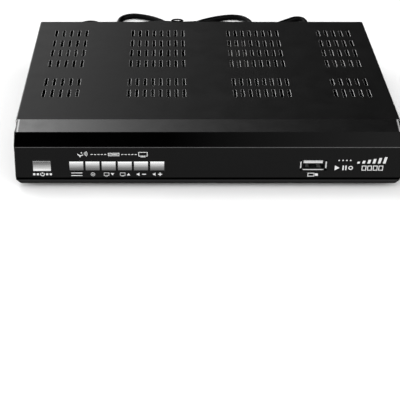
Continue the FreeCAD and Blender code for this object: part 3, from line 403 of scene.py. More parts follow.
# %% Steps of arithmetic for any node tree
def arithmetic(tree, operation, a, b):
    """One step of arithmetic between numbers and sockets."""
    node = tree.nodes.new("ShaderNodeMath")
    node.operation = operation
    for socket, value in zip(node.inputs, (a, b)):
        if isinstance(value, bpy.types.NodeSocket):
            tree.links.new(value, socket)
        else:
            socket.default_value = value
    return node.outputs[0]


def brought(tree, source, start, end, low, high, kind="LINEAR"):
    """The number `source` brought from start..end to low..high."""
    node = tree.nodes.new("ShaderNodeMapRange")
    node.interpolation_type = kind
    for index, value in zip((1, 2, 3, 4), (start, end, low, high)):
        node.inputs[index].default_value = value
    tree.links.new(source, node.inputs[0])
    return node.outputs[0]


# %% The sky's direction as three numbers
world = bpy.data.worlds.new("studio_sky")
world.use_nodes = True
bpy.context.scene.world = world
bpy.context.scene.view_settings.view_transform = "Standard"
sky = world.node_tree
sky.nodes.clear()
direction = sky.nodes.new("ShaderNodeTexCoord").outputs["Generated"]
axes = sky.nodes.new("ShaderNodeSeparateXYZ")
sky.links.new(direction, axes.inputs[0])
sideways, away, upward = axes.outputs


def sky_math(operation, a, b):
    return arithmetic(sky, operation, a, b)


def sky_ramp(source, start, end, low, high):
    """A smooth step of one number of the sky's direction."""
    return brought(sky, source, start, end, low, high, "SMOOTHSTEP")


# %% Light from behind
# It falls off from the left to the right, and is weaker near the horizon.
left_strength, right_strength = 0.80, 0.05
fall_start, fall_rate = -0.14, -13.0
behind_share = sky_ramp(away, -0.1, 0.45, 0, 1)
past_start = sky_math("MAXIMUM", sideways, fall_start)
behind_fall = sky_math("EXPONENT", sky_math("MULTIPLY", past_start, fall_rate), 0)
behind_left = sky_math("ADD", sky_math("MULTIPLY", behind_fall, left_strength), right_strength)
behind_light = sky_math("MULTIPLY", sky_ramp(upward, 0.60, 0.78, 0.22, 1.0), behind_left)
brightest = math.exp(fall_start * fall_rate) * left_strength + right_strength
print("light from behind up to", round(brightest, 2))

# %% Light in front
# It rises from below to a bright band, ends overhead, and goes on overhead only at the right.
lowest, rise_height, rise_power, band_height = 0.15, 1.1, 1.6, 1.2
right_slope, right_height = 2.9, 0.8
front_rise = sky_math("POWER", brought(sky, upward, -0.95, 0.1, 0, 1), rise_power)
front_low = sky_math("ADD", sky_math("MULTIPLY", front_rise, rise_height), lowest)
front_band = sky_math("ADD", front_low, sky_ramp(upward, 0.12, 0.4, 0, band_height))
front_high = sky_ramp(upward, 0.55, 0.85, 1, 0)
right_rise = sky_math("MINIMUM", sky_math("MULTIPLY", sideways, right_slope), right_height)
right_rise = sky_math("MAXIMUM", 0.0, right_rise)
overhead_right = sky_math("MULTIPLY", right_rise, sky_ramp(upward, 0.3, 0.7, 0, 1))
front_light = sky_math("ADD", sky_math("MULTIPLY", front_band, front_high), overhead_right)
front_part = sky_math("MULTIPLY", front_light, sky_math("SUBTRACT", 1.0, behind_share))
print("bright band in front", round(lowest + rise_height + band_height, 2))

# %% The sky from its two parts
sky_strength = sky_math("ADD", sky_math("MULTIPLY", behind_light, behind_share), front_part)
background = sky.nodes.new("ShaderNodeBackground")
background.inputs["Color"].default_value = (1, 1, 1, 1)
sky.links.new(sky_strength, background.inputs["Strength"])
sky_out = sky.nodes.new("ShaderNodeOutputWorld")
sky.links.new(background.outputs[0], sky_out.inputs[0])
print("sky nodes", len(sky.nodes))


# %% [markdown]
# ## Finishes
# No real surface is one flat colour. Each finish starts from one Principled shader and gets, in Object
# coordinates, a slow noise that varies its colour, a finer one that varies its roughness, and a bump of its
# own grain. The grain's size is real: paint texture is a few tenths of a millimetre, brushing is long in one
# direction, and cast or moulded parts are finer still. Painted textures could show the same, but noise in
# real coordinates needs no unwrapping and has no seams.

# %% Finish helper
class Finish:
    """A material with one Principled shader, and the kinds of texture that the receiver's finishes share."""

    def __init__(self, name, roughness, metallic=0.0, specular=0.5):
        self.material = bpy.data.materials.new(name)
        self.material.use_nodes = True
        self.tree = self.material.node_tree
        self.shader = self.tree.nodes["Principled BSDF"]
        self.shader.inputs["Roughness"].default_value = roughness
        self.shader.inputs["Metallic"].default_value = metallic
        self.shader.inputs["Specular IOR Level"].default_value = specular
        self.place = self.tree.nodes.new("ShaderNodeTexCoord").outputs["Object"]

    def noise(self, scale, detail=3.0, stretch=(1, 1, 1)):
        """Noise of features 1/scale metres across, drawn out along an axis where stretch is under 1."""
        mapping = self.tree.nodes.new("ShaderNodeMapping")
        mapping.inputs["Scale"].default_value = stretch
        texture = self.tree.nodes.new("ShaderNodeTexNoise")
        texture.inputs["Scale"].default_value = scale
        texture.inputs["Detail"].default_value = detail
        self.tree.links.new(self.place, mapping.inputs[0])
        self.tree.links.new(mapping.outputs[0], texture.inputs["Vector"])
        return texture.outputs["Fac"]

    def axes(self):
        """The place's three numbers: across, behind and up."""
        apart = self.tree.nodes.new("ShaderNodeSeparateXYZ")
        self.tree.links.new(self.place, apart.inputs[0])
        return apart.outputs

    def spread(self, source, low, high, start=0.3, end=0.7):
        """The number `source` brought from start..end to low..high."""
        return brought(self.tree, source, start, end, low, high)

    def maths(self, operation, a, b):
        return arithmetic(self.tree, operation, a, b)

    def colours(self, source, dark, light, start=0.3, end=0.7):
        """Base colour between two linear colours, by the number `source`."""
        ramp = self.tree.nodes.new("ShaderNodeValToRGB")
        ramp.color_ramp.elements[0].position = start
        ramp.color_ramp.elements[0].color = (*dark, 1)
        ramp.color_ramp.elements[1].position = end
        ramp.color_ramp.elements[1].color = (*light, 1)
        self.tree.links.new(source, ramp.inputs[0])
        self.tree.links.new(ramp.outputs[0], self.shader.inputs["Base Color"])

    def roughness(self, source, low, high):
        self.tree.links.new(self.spread(source, low, high), self.shader.inputs["Roughness"])

    def bump(self, source, height):
        """A bump whose full height is given in metres."""
        bump = self.tree.nodes.new("ShaderNodeBump")
        bump.inputs["Strength"].default_value = 1.0
        bump.inputs["Distance"].default_value = height
        self.tree.links.new(source, bump.inputs["Height"])
        self.tree.links.new(bump.outputs[0], self.shader.inputs["Normal"])


def grained(name, dark, light, rough, grain, height, metallic=0.0, specular=0.5, stretch=(1, 1, 1)):
    """A plain finish: slow colour change, finer roughness change, and a grain of this size and height."""
    finish = Finish(name, rough[0], metallic, specular)
    finish.colours(finish.noise(60, stretch=stretch), dark, light)
    fine = finish.noise(1 / grain, 2.0, stretch)
    finish.roughness(fine, *rough)
    finish.bump(fine, height)
    return finish.material


def grey(value):
    return (value, value, value)


# %% [markdown]
# ## The black finishes
# The cover and tray are satin black paint on steel, with a faint orange-peel. The front's frame is moulded
# black plastic, a little glossier, with a painted highlight at the two ends of its ledge. The lens is clear
# plastic printed black behind, so it is nearly a mirror: it has low roughness and only the softest waviness.
# One black for all would be simpler, but each surface answers the light in its own way.

# %% Black finishes
def black_sheet():
    finish = Finish("black_sheet", 0.4, specular=0.18)
    finish.colours(finish.noise(35), grey(0.0020), grey(0.0030))
    peel = finish.noise(2600, 2.0)
    finish.roughness(finish.noise(90), 0.30, 0.38)
    finish.bump(peel, 0.006 * mm)
    return finish.material


def tray_paint():
    finish = Finish("tray_paint", 0.45, specular=0.45)
    finish.colours(finish.noise(30), grey(0.011), grey(0.016))
    finish.roughness(finish.noise(120), 0.38, 0.48)
    finish.bump(finish.noise(2200, 2.0), 0.008 * mm)
    return finish.material


# %% The moulded black, with a painted highlight near the ends of its ledge
lens_low, lens_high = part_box("front_panel")
end_x, ledge_z, lens_foot = lens_high[0], lens_high[2], lens_low[2]


def black_moulding():
    finish = Finish("black_moulding", 0.2, specular=0.5)
    x, _, z = finish.axes()
    across = finish.maths("ABSOLUTE", x, 0.0)
    begins = finish.spread(across, 0, 1, end_x - 2.8 * mm, end_x - 1.9 * mm)
    stops = finish.spread(across, 1, 0, end_x - 2.0 * mm, end_x - 1.4 * mm)
    on_ledge = finish.spread(z, 0, 1, ledge_z - 0.5 * mm, ledge_z - 0.1 * mm)
    # A painted highlight: a light band in the colour near each end of the ledge.
    painted_end_highlight = finish.maths("MULTIPLY", finish.maths("MULTIPLY", begins, stops), on_ledge)
    uneven = finish.maths("MULTIPLY", finish.noise(45), 0.002)
    finish.colours(finish.maths("ADD", painted_end_highlight, uneven), grey(0.0008), grey(0.36), 0.0, 1.0)
    finish.roughness(finish.noise(150), 0.14, 0.22)
    finish.bump(finish.noise(1500, 1.0), 0.0012 * mm)
    return finish.material


def gloss_lens():
    finish = Finish("gloss_lens", 0.07, specular=0.32)
    finish.colours(finish.noise(30), grey(0.0002), grey(0.0004))
    finish.roughness(finish.noise(70), 0.05, 0.10)
    finish.bump(finish.noise(160, 1.0), 0.002 * mm)
    return finish.material


# %% [markdown]
# ## Metals and the keys
# The keys are moulded plastic with a bright silver paint, brushed sideways, so their grain is stretched along
# X. Plated parts are smooth with a few fine scratches, and the aluminium heat sink is extruded, with its
# grain along its fins. An anisotropic shader could stretch the highlight in the same way, but stretched noise
# also shows the single strokes.

# %% Metal finishes
def silver_key():
    finish = Finish("silver_key", 0.3, metallic=1.0)
    lines = finish.noise(4200, 2.0, stretch=(0.03, 1, 1))
    finish.colours(lines, grey(0.74), grey(0.94))
    finish.roughness(lines, 0.16, 0.24)
    finish.bump(lines, 0.003 * mm)
    return finish.material


def nickel_plate():
    finish = Finish("nickel_plate", 0.2, metallic=1.0)
    finish.colours(finish.noise(240), (0.60, 0.58, 0.55), (0.72, 0.70, 0.67))
    scratches = finish.noise(3000, 2.0, stretch=(1, 0.08, 1))
    finish.roughness(scratches, 0.14, 0.28)
    finish.bump(scratches, 0.001 * mm)
    return finish.material


# %% [markdown]
# ## Circuit boards
# The main and front boards are laminate under a dark green solder mask, and the power board is brown. Their
# copper tracks show as slightly lighter, raised lines. Each track could be drawn, but only glimpses show
# through the slots, so one brick pattern does: its joints are the tracks, long in one direction and stepping
# now and then.

# %% Board finishes
def laminate(name, dark, light, track, copper_height):
    finish = Finish(name, 0.35, specular=0.5)
    tree = finish.tree
    brick = tree.nodes.new("ShaderNodeTexBrick")
    brick.inputs["Scale"].default_value = 90
    brick.inputs["Mortar Size"].default_value = 0.035
    brick.inputs["Mortar Smooth"].default_value = 0.2
    brick.inputs["Brick Width"].default_value = 1.6
    brick.inputs["Row Height"].default_value = 0.22
    brick.inputs["Color1"].default_value = (*dark, 1)
    brick.inputs["Color2"].default_value = (*light, 1)
    brick.inputs["Mortar"].default_value = (*track, 1)
    tree.links.new(finish.place, brick.inputs["Vector"])
    tree.links.new(brick.outputs["Color"], finish.shader.inputs["Base Color"])
    finish.roughness(finish.noise(400), 0.28, 0.42)
    finish.bump(brick.outputs["Fac"], copper_height)
    return finish.material


# %% One finish for each material slot of the model
finishes = {
    "black_sheet": black_sheet(),
    "tray_steel": tray_paint(),
    "black_moulding": black_moulding(),
    "gloss_lens": gloss_lens(),
    "silver_key": silver_key(),
    "nickel": nickel_plate(),
    "circuit_board": laminate("circuit_board", (0.0010, 0.0030, 0.0016), (0.0014, 0.0040, 0.0022),
                              (0.0030, 0.0080, 0.0045), 0.02 * mm),
    "power_laminate": laminate("power_laminate", (0.0030, 0.0022, 0.0012), (0.0040, 0.0030, 0.0018),
                               (0.0080, 0.0060, 0.0035), 0.02 * mm),
    "black_screw": grained("black_screw", grey(0.012), grey(0.022), (0.25, 0.38), 0.2 * mm, 0.003 * mm, 0.6),
    "foot_rubber": grained("foot_rubber", grey(0.010), grey(0.017), (0.75, 0.9), 0.3 * mm, 0.02 * mm),
    "switch_plastic": grained("switch_plastic", grey(0.02), grey(0.04), (0.4, 0.55), 0.2 * mm, 0.004 * mm),
    "smoked_plastic": grained("smoked_plastic", (0.015, 0.008, 0.010), (0.03, 0.012, 0.015), (0.08, 0.16),
                              0.5 * mm, 0.001 * mm),
    "display_plastic": grained("display_plastic", (0.08, 0.02, 0.02), (0.13, 0.03, 0.03), (0.2, 0.3),
                               0.4 * mm, 0.002 * mm),
    "white_plastic": grained("white_plastic", (0.72, 0.72, 0.70), (0.82, 0.82, 0.80), (0.3, 0.42), 0.3 * mm,
                             0.002 * mm),
    "yellow_plastic": grained("yellow_plastic", (0.80, 0.50, 0.02), (0.88, 0.58, 0.04), (0.3, 0.4), 0.3 * mm,
                              0.002 * mm),
    "red_plastic": grained("red_plastic", (0.55, 0.015, 0.015), (0.65, 0.025, 0.02), (0.3, 0.4), 0.3 * mm,
                           0.002 * mm),
    # Painted shade: the tinplate, aluminium, capacitor sleeves and winding tape inside are kept nearly black.
    "tinplate": grained("tinplate", grey(0.025), grey(0.04), (0.35, 0.5), 0.5 * mm, 0.004 * mm, 1.0,
                        stretch=(0.2, 1, 1)),
    "chip_epoxy": grained("chip_epoxy", grey(0.014), grey(0.022), (0.55, 0.7), 0.12 * mm, 0.006 * mm),
    "aluminium": grained("aluminium", grey(0.010), grey(0.018), (0.3, 0.42), 0.15 * mm, 0.004 * mm, 0.6,
                         stretch=(1, 0.05, 1)),
    "capacitor_sleeve": grained("capacitor_sleeve", (0.004, 0.004, 0.006), (0.008, 0.008, 0.012), (0.2, 0.32),
                                0.6 * mm, 0.003 * mm),
    "ferrite": grained("ferrite", grey(0.006), grey(0.011), (0.6, 0.75), 0.25 * mm, 0.01 * mm),
    "winding_tape": grained("winding_tape", (0.006, 0.006, 0.008), (0.012, 0.012, 0.015), (0.15, 0.3), 2 * mm,
                            0.02 * mm, stretch=(1, 1, 0.3)),
    "fuse_glass": grained("fuse_glass", grey(0.5), grey(0.65), (0.1, 0.2), 0.6 * mm, 0.001 * mm, 0.7),
    "wire_insulation": grained("wire_insulation", (0.02, 0.02, 0.022), (0.035, 0.035, 0.04), (0.35, 0.5),
                               0.3 * mm, 0.004 * mm),
    "lead_sheath": grained("lead_sheath", grey(0.0005), grey(0.0010), (0.30, 0.42), 0.35 * mm, 0.004 * mm,
                           specular=0.05),
    "tie_wire": grained("tie_wire", grey(0.0010), grey(0.0018), (0.4, 0.5), 0.2 * mm, 0.003 * mm,
                        specular=0.08),
}
print("finishes", len(finishes))

# %% Give each CAD node its finish
# The headers are dark here, painted shade, so that no white one shows through a slot.
for name, node in nodes.items():
    for slot in node.material_slots:
        slot.material = finishes[slot.material.name.split(".")[0]]
nodes["wire_headers"].material_slots[0].material = finishes["switch_plastic"]
print("nodes with a finish", len(nodes))


# %% [markdown]
# ## Pieces made from a node
# Sheet metal and mouldings never have perfectly sharp edges, and it is the thin bright line along an edge
# that says so. A piece starts as a copy of the node's mesh. Its loose triangles are merged, flat areas are
# joined into larger faces, and a Bevel modifier rounds what is sharp. It could be modelled anew, but a copy
# keeps every hole and every size of the model. The piece then stands for the node.

# %% Refined copies
# An edge sharper than the first angle, in degrees, is rounded. Faces within the second are blended.
sharp_angle, blend_angle = 30, 35


def merged_copy(name):
    """A node's mesh with its doubles merged and its flat areas joined, as a bmesh."""
    bm = bmesh.new()
    bm.from_mesh(nodes[name].data)
    bmesh.ops.remove_doubles(bm, verts=bm.verts, dist=0.001 * mm)
    bmesh.ops.dissolve_limit(bm, angle_limit=math.radians(0.5), verts=bm.verts, edges=bm.edges)
    bm.verts.index_update()
    return bm


def even_normals(name, mesh):
    """The mesh shaded so that a large face stays flat and only the small faces round its rim are blended."""
    smooth_by_angle(mesh, blend_angle)
    live = piece_from(name + "_shade", mesh)
    weighting = live.modifiers.new("normals", "WEIGHTED_NORMAL")
    weighting.weight = 100
    weighting.keep_sharp = True
    return plain_mesh(live, name)


def refined(name, edge, segments=2, finish=None, body="root", edge_finish=None, change=None):
    """A copy of a node with rounded edges, riding on its body and standing for it."""
    bm = merged_copy(name)
    if change:
        change(bm)
    mesh = mesh_of(bm, name + "_start")
    live = piece_from(name + "_live", mesh)
    mesh.materials.clear()
    mesh.materials.append(finish or nodes[name].material_slots[0].material)
    rounding = live.modifiers.new("edges", "BEVEL")
    rounding.width = edge
    rounding.segments = segments
    rounding.limit_method = "ANGLE"
    rounding.angle_limit = math.radians(sharp_angle)
    if edge_finish:
        mesh.materials.append(edge_finish)
        rounding.material = 1
    piece = piece_from(name + "_piece", even_normals(name + "_piece", plain_mesh(live, name)))
    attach(piece, body)
    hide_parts(name)
    print(name, "->", len(piece.data.polygons), "faces")
    return piece


# %% Finishes of the edges: painted highlights, and painted shade for the groove
def edge_paint(name, dark, light, rough=0.3):
    finish = Finish(name, rough, specular=0.4)
    finish.colours(finish.noise(200), grey(dark), grey(light))
    finish.roughness(finish.noise(600), rough, rough + 0.12)
    return finish.material


# A painted highlight along the front's rounded edges and the lens's break line.
edge_highlight = edge_paint("edge_highlight", 0.040, 0.055, 0.25)
# A painted highlight along the cover's side bends.
bend_highlight = edge_paint("bend_highlight", 0.10, 0.14)
# A painted highlight on the rounded ends of the ledge.
ledge_end_highlight = edge_paint("ledge_end_highlight", 0.38, 0.50)
# Slot rims: light grey, partly thin paint, partly a painted highlight, brighter on the side to the lamp.
slot_rim = edge_paint("slot_rim", 0.26, 0.34)
rim_highlight = edge_paint("rim_highlight", 0.62, 0.76)
# Painted shade: a near-black, dull finish for the groove.
groove_shade = Finish("groove_shade", 0.9, specular=0.02)
groove_shade.colours(groove_shade.noise(200), grey(0.0002), grey(0.0004))
print("materials", len(bpy.data.materials))

# %% [markdown]
# ## Small changes of shape at the front
# The moulding's groove, lip, break line and ends are finer than the solid has them. They could be modelled
# anew, but each is a shift of some vertices of the node's own mesh, so a function that moves a vertex by
# where it is does the job, and the rest of the shape stays as it was.

# %% The groove and the lip under the lens
lip_top = lens_foot - 1.2 * mm
break_z = ledge_z - 5.6 * mm
groove_face = face_y + 0.7 * mm
near = 0.1 * mm
groove_deeper = 0.8 * mm
foot_drop, lip_top_drop, lip_foot_drop, break_drop = 0.4 * mm, 0.8 * mm, 0.5 * mm, 0.2 * mm
print("lip", round(lip_top / mm, 1), "mm up, break line", round(break_z / mm, 1), "mm up")


def settle_foot(vertex):
    """Makes the groove deeper and taller, and brings the lip and the break line down."""
    x, y, z = vertex.co
    if abs(y - groove_face) < 0.02 * mm and lip_top - near < z < lens_foot + near:
        vertex.co.y += groove_deeper
    if y < face_y + 2 * mm and z < lens_foot + 4 * near:
        on_lip_top = z > lip_top - 0.9 * mm
        vertex.co.z -= foot_drop if z > lip_top + near else lip_top_drop if on_lip_top else lip_foot_drop
    if y < face_y + 1.3 * mm and break_z - 0.6 * mm < z < break_z + 1.1 * mm:
        vertex.co.z -= break_drop


# %% The ends of the moulding
skin_from, skin_to = end_x - 1.7 * mm, end_x - 1.0 * mm
face_end, bevel_end, ledge_end, ledge_more = 0.5, 0.4, 0.3, 0.45
corner_cut = 2.8
corner_from, corner_to = end_x - 4.7 * mm, end_x - 1.9 * mm
corner_foot = lip_top - 3.2 * mm
seam_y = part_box("top_cover")[0][1]
half_height = 20 * mm


def eased(value, start, end):
    """How far the value is from start to end, kept between 0 and 1."""
    return min(1.0, max(0.0, (value - start) / (end - start)))


def draw_in_end(vertex):
    """Brings the ends' outer skin in towards the top, and cuts the lower corners off."""
    x, y, z = vertex.co
    outer = eased(abs(x), skin_from, skin_to)
    if z > half_height:
        on_ledge = ledge_end + ledge_more * eased(y, seam_y, seam_y - 6 * mm)
        inwards = face_end if y < face_y + 2 * mm else bevel_end if y < face_y + 9 * mm else on_ledge
    elif y < face_y + 2 * mm and z < lip_top + near:
        inwards = corner_cut * eased(z, lip_top, corner_foot)
        outer = eased(abs(x), corner_from, corner_to)
    else:
        inwards = 0.0
    vertex.co.x -= math.copysign(inwards * outer * mm, x)


def settle_front(bm):
    for vertex in bm.verts:
        draw_in_end(vertex)
        settle_foot(vertex)


# %% Cover, front, lens and tray
cover = refined("top_cover", 0.16 * mm)
# The front's rounded edges all get the edge highlight, a painted highlight.
fascia = refined("front_fascia", 0.25 * mm, 3, edge_finish=edge_highlight, change=settle_front)
lens = refined("front_panel", 0.10 * mm, change=settle_front)
refined("chassis_tray", 0.12 * mm)
top_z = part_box("top_cover")[1][2]
half_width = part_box("top_cover")[1][0]
print("cover", round(2 * half_width / mm, 1), "mm wide, its top", round(top_z / mm, 1), "mm up")


# %% Painting some of a piece's faces
def painted_faces(piece, finish, test):
    """Gives the finish to the faces whose normal and middle pass the test."""
    piece.data.materials.append(finish)
    slot = len(piece.data.materials) - 1
    chosen = [face for face in piece.data.polygons if test(face.normal, face.center)]
    for face in chosen:
        face.material_index = slot
    print(piece.name, "faces with", finish.name, len(chosen))


def at_break(normal, middle):
    """The narrow rounding between the lens's face and its bevel, which gets a painted highlight."""
    return -0.975 < normal.y < -0.84 and normal.z > 0.15


# The cover's rounded side bends, which get a painted highlight.
def on_cover_bend(normal, middle):
    return 0.5 < abs(normal.x) < 0.75 and normal.z > 0.5 and abs(middle.x) > half_width - 2 * mm


def in_groove(normal, middle):
    """The groove's back and its floor, which get painted shade."""
    deep = face_y + 0.1 * mm < middle.y < face_y + 2.2 * mm
    between = lip_top - 1.4 * mm < middle.z < lens_foot
    return deep and between and (normal.y < -0.5 or normal.z > 0.9)


def on_ledge_end(normal, middle):
    """The rounded edges at the ends of the ledge, which get a painted highlight."""
    return 0.15 < abs(normal.x) < 0.85 and normal.z > 0.3 and middle.z > ledge_z - 0.8 * mm


# %% Where the edges get painted highlights, and the groove painted shade
painted_faces(lens, edge_highlight, at_break)
painted_faces(cover, bend_highlight, on_cover_bend)
painted_faces(fascia, groove_shade.material, in_groove)
painted_faces(fascia, ledge_end_highlight, on_ledge_end)


# %% [markdown]
# ## Rims of the vent slots by geometry nodes
# A punched slot has a rolled rim where the tool pushed the sheet down, and paint is thin there, so it catches
# the light. A bevel alone gives no such bright bead, and 156 rims by hand would be slow. So the outlines of
# all the slots are taken from the cover's own mesh as loose edges, and one node tree turns them into curves
# and sweeps a small circle along each. The rims' light grey is partly that thin paint and partly a painted
# highlight. The faces that look to the lamp get a brighter painted highlight, and those that look to the
# front get painted shade in the cover's black.

# %% Node tree helper
class Tree:
    """A geometry node group with named inputs, and short calls for its nodes and links."""

    def __init__(self, name, **inputs):
        self.group = bpy.data.node_groups.new(name, "GeometryNodeTree")
        for way in ("OUTPUT", "INPUT"):
            self.group.interface.new_socket("Geometry", in_out=way, socket_type="NodeSocketGeometry")
        self.sockets = {}
        for label, kind in inputs.items():
            item = self.group.interface.new_socket(label, in_out="INPUT", socket_type="NodeSocket" + kind)
            self.sockets[label] = item.identifier
        self.source = self.group.nodes.new("NodeGroupInput")
        self.sink = self.group.nodes.new("NodeGroupOutput")

    def value(self, label):
        return self.source.outputs[label]

    def add(self, kind, settings=None, **links):
        """A node whose sockets are linked to, or set to, the values given by socket name."""
        node = self.group.nodes.new(kind)
        for key, setting in (settings or {}).items():
            setattr(node, key, setting)
        for label, value in links.items():
            socket = node.inputs[int(label[1:])] if label[0] == "_" else node.inputs[label.replace("_", " ")]
            if isinstance(value, bpy.types.NodeSocket):
                self.group.links.new(value, socket)
            else:
                socket.default_value = value
        return node

    def math(self, operation, a, b):
        return arithmetic(self.group, operation, a, b)

    def finish(self, geometry):
        real = self.add("GeometryNodeRealizeInstances", Geometry=geometry)
        paint = self.add("GeometryNodeSetMaterial", Geometry=real.outputs[0], Material=self.value("Finish"))
        self.group.links.new(paint.outputs[0], self.sink.inputs[0])
        print(self.group.name, "nodes", len(self.group.nodes))

    def mesh(self, name, start=None, **values):
        """The tree's result for a start mesh and these inputs, as a plain mesh."""
        live = piece_from(name + "_live", start or bpy.data.meshes.new(name))
        modifier = live.modifiers.new("nodes", "NODES")
        modifier.node_group = self.group
        for label, value in values.items():
            modifier[self.sockets[label]] = value
        return plain_mesh(live, name)


# %% Outlines of the slots from the cover's mesh
edge_margin, seam_margin = 3 * mm, 3.5 * mm
rim_depth = 0.12 * mm


def inside_top(place):
    """Whether the place is on the cover's top and away from the top's own edges."""
    on_top = abs(place.z - top_z) < 0.01 * mm and abs(place.x) < half_width - edge_margin
    return on_top and seam_y + seam_margin < place.y < rear - edge_margin


def slot_outlines():
    """The cover's sharp edges round its slots, a little below its top, as a mesh of edges alone."""
    bm = merged_copy("top_cover")
    bm.normal_update()
    numbers, places, pairs = {}, [], []
    for edge in bm.edges:
        ups = [abs(face.normal.z) for face in edge.link_faces]
        inside = all(inside_top(vertex.co) for vertex in edge.verts)
        if inside and len(ups) == 2 and min(ups) < 0.5 < max(ups):
            for vertex in edge.verts:
                if vertex.index not in numbers:
                    numbers[vertex.index] = len(places)
                    places.append(vertex.co - Vector((0, 0, rim_depth)))
            pairs.append([numbers[vertex.index] for vertex in edge.verts])
    bm.free()
    mesh = bpy.data.meshes.new("slot_outlines")
    mesh.from_pydata(places, pairs, [])
    print("outlines of slots:", len(pairs), "edges")
    return mesh


# %% Rim tree
rim_tree = Tree("slot_rims", Radius="Float", Finish="Material")
outlines = rim_tree.add("GeometryNodeMeshToCurve", Mesh=rim_tree.value("Geometry"))
rim_profile = rim_tree.add("GeometryNodeCurvePrimitiveCircle", Resolution=8, Radius=rim_tree.value("Radius"))
rim_sweep = rim_tree.add("GeometryNodeCurveToMesh", Curve=outlines.outputs[0],
                         Profile_Curve=rim_profile.outputs[0])
rim_tree.finish(rim_sweep.outputs[0])

# %% The rims: a painted highlight where they look to the lamp, painted shade where they look to the front
rim_mesh = rim_tree.mesh("slot_rims", start=slot_outlines(), Radius=0.115 * mm, Finish=slot_rim)
smooth_by_angle(rim_mesh, 60)
rims = piece_from("slot_rims", rim_mesh)
painted_faces(rims, rim_highlight, lambda normal, middle: normal.x < -0.25 or normal.y > 0.25)
painted_faces(rims, finishes["black_sheet"], lambda normal, middle: normal.y < -0.3)
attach(rims, "root")
print("rims", len(rim_mesh.polygons), "faces")


# %% [markdown]
# ## The keys
# Each key's face is a shallow arch, and the standby key's is a shallow dish, so the low front light runs from
# bright to dark over it. That shape is the node's own, and only the edges need more, because paint rounds
# them. They could be sculpted, but paint rounds every edge by the same small width, and so does a bevel.

# %% The keys, each on its own body
key_names = ["standby", "menu", "select", "channel_down", "channel_up", "volume_down", "volume_up"]
upper_rise, lower_rise, standby_lower_rise = 0.12 * mm, 0.25 * mm, 0.45 * mm


def raised(name):
    """A change that brings a key's lower edge up, and its upper edge a little too."""
    low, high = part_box(name)
    rise = standby_lower_rise if name == "standby_key" else lower_rise

    def change(bm):
        for vertex in bm.verts:
            share = (high[2] - vertex.co.z) / (high[2] - low[2])
            vertex.co.z += rise * share + upper_rise * (1 - share)
    return change


for name in key_names:
    refined(name + "_key", 0.32 * mm, 3, body=name, change=raised(name + "_key"))

# %% [markdown]
# ## The front socket
# The socket's shell is thin folded steel: its lips open outwards a little, and only its two upright edges and
# its lower lip catch the light. Reflections could show that, but the lips are too thin, so the plate's colour
# follows the place: painted shade in the middle and a painted highlight towards those edges. The tongue is
# pale plastic, and two springs lie on the floor.

# %% The socket's shell: painted shade inside, a painted highlight at its upright lips and its lower lip
usb_low, usb_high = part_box("usb_socket_shell")
usb_x, usb_z = (usb_low[0] + usb_high[0]) / 2, (usb_low[2] + usb_high[2]) / 2
upright_from, upright_to = 6.75 * mm, 6.95 * mm
lower_from, lower_to = usb_z - 2.95 * mm, usb_z - 2.75 * mm
shell_plate = Finish("shell_plate", 0.35, metallic=0.3)
across, _, up = shell_plate.axes()
off_middle = shell_plate.maths("ABSOLUTE", shell_plate.maths("SUBTRACT", across, usb_x), 0.0)
upright = shell_plate.spread(off_middle, 0, 1, upright_from, upright_to)
lower = shell_plate.spread(up, 1, 0, lower_from, lower_to)
# Painted shade in the middle of the shell, and a painted highlight at its lips.
shell_plate.colours(shell_plate.maths("MAXIMUM", upright, lower), grey(0.006), grey(0.62), 0.1, 0.9)
shell_plate.roughness(shell_plate.noise(2500, 2.0, (1, 0.1, 1)), 0.25, 0.4)
refined("usb_socket_shell", 0.05 * mm, finish=shell_plate.material)

# %% The socket's tongue
tip_forward, tip_thicker = 0.4 * mm, 0.15 * mm


def fuller_tongue(bm):
    """The tongue's tip moved forward and made thicker, as the contacts under it are."""
    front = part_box("usb_socket_tongue")[0][1]
    tip = [vertex for vertex in bm.verts if vertex.co.y < front + 0.1 * mm]
    lowest = min(vertex.co.z for vertex in tip)
    for vertex in tip:
        vertex.co.y -= tip_forward
        if vertex.co.z < lowest + 0.1 * mm:
            vertex.co.z -= tip_thicker


tongue_plastic = grained("tongue_plastic", grey(0.50), grey(0.58), (0.3, 0.42), 0.3 * mm, 0.002 * mm)
refined("usb_socket_tongue", 0.10 * mm, finish=tongue_plastic, change=fuller_tongue)

# %% Feet and pins
refined("rubber_feet", 0.25 * mm)
pins = refined("plug_pins", 0.10 * mm)

# %% Two contact springs on the socket's floor: how far in and how high, in millimetres
spring_line = [(1.4, 0.02), (2.2, 0.30), (3.0, 0.48), (3.8, 0.48), (4.6, 0.30), (5.4, 0.02)]
spring_floor = usb_low[2] + 0.36 * mm
spring_apart, spring_half, spring_taper, spring_sheet = 3.3 * mm, 1.2, 0.06, 0.2 * mm
springs_bm = bmesh.new()
for side in (-1, 1):
    rows = []
    for along, rise in spring_line:
        half = (spring_half - spring_taper * along) * mm
        y, z = usb_low[1] + along * mm, spring_floor + rise * mm
        section = [(-half, 0), (half, 0), (half, spring_sheet), (-half, spring_sheet)]
        rows.append([springs_bm.verts.new((usb_x + side * spring_apart + x, y, z + up)) for x, up in section])
    for row, after in zip(rows, rows[1:]):
        for corner in range(4):
            springs_bm.faces.new([row[corner], row[corner - 3], after[corner - 3], after[corner]])
    springs_bm.faces.new(rows[0])
    springs_bm.faces.new(rows[-1][::-1])
springs = piece_from_bmesh("usb_springs", springs_bm, 40)
spring_steel = grained("spring_steel", grey(0.36), grey(0.44), (0.3, 0.42), 0.3 * mm, 0.001 * mm, 1.0)
springs.data.materials.append(spring_steel)
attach(springs, "root")
print("springs", len(springs.data.polygons), "faces")


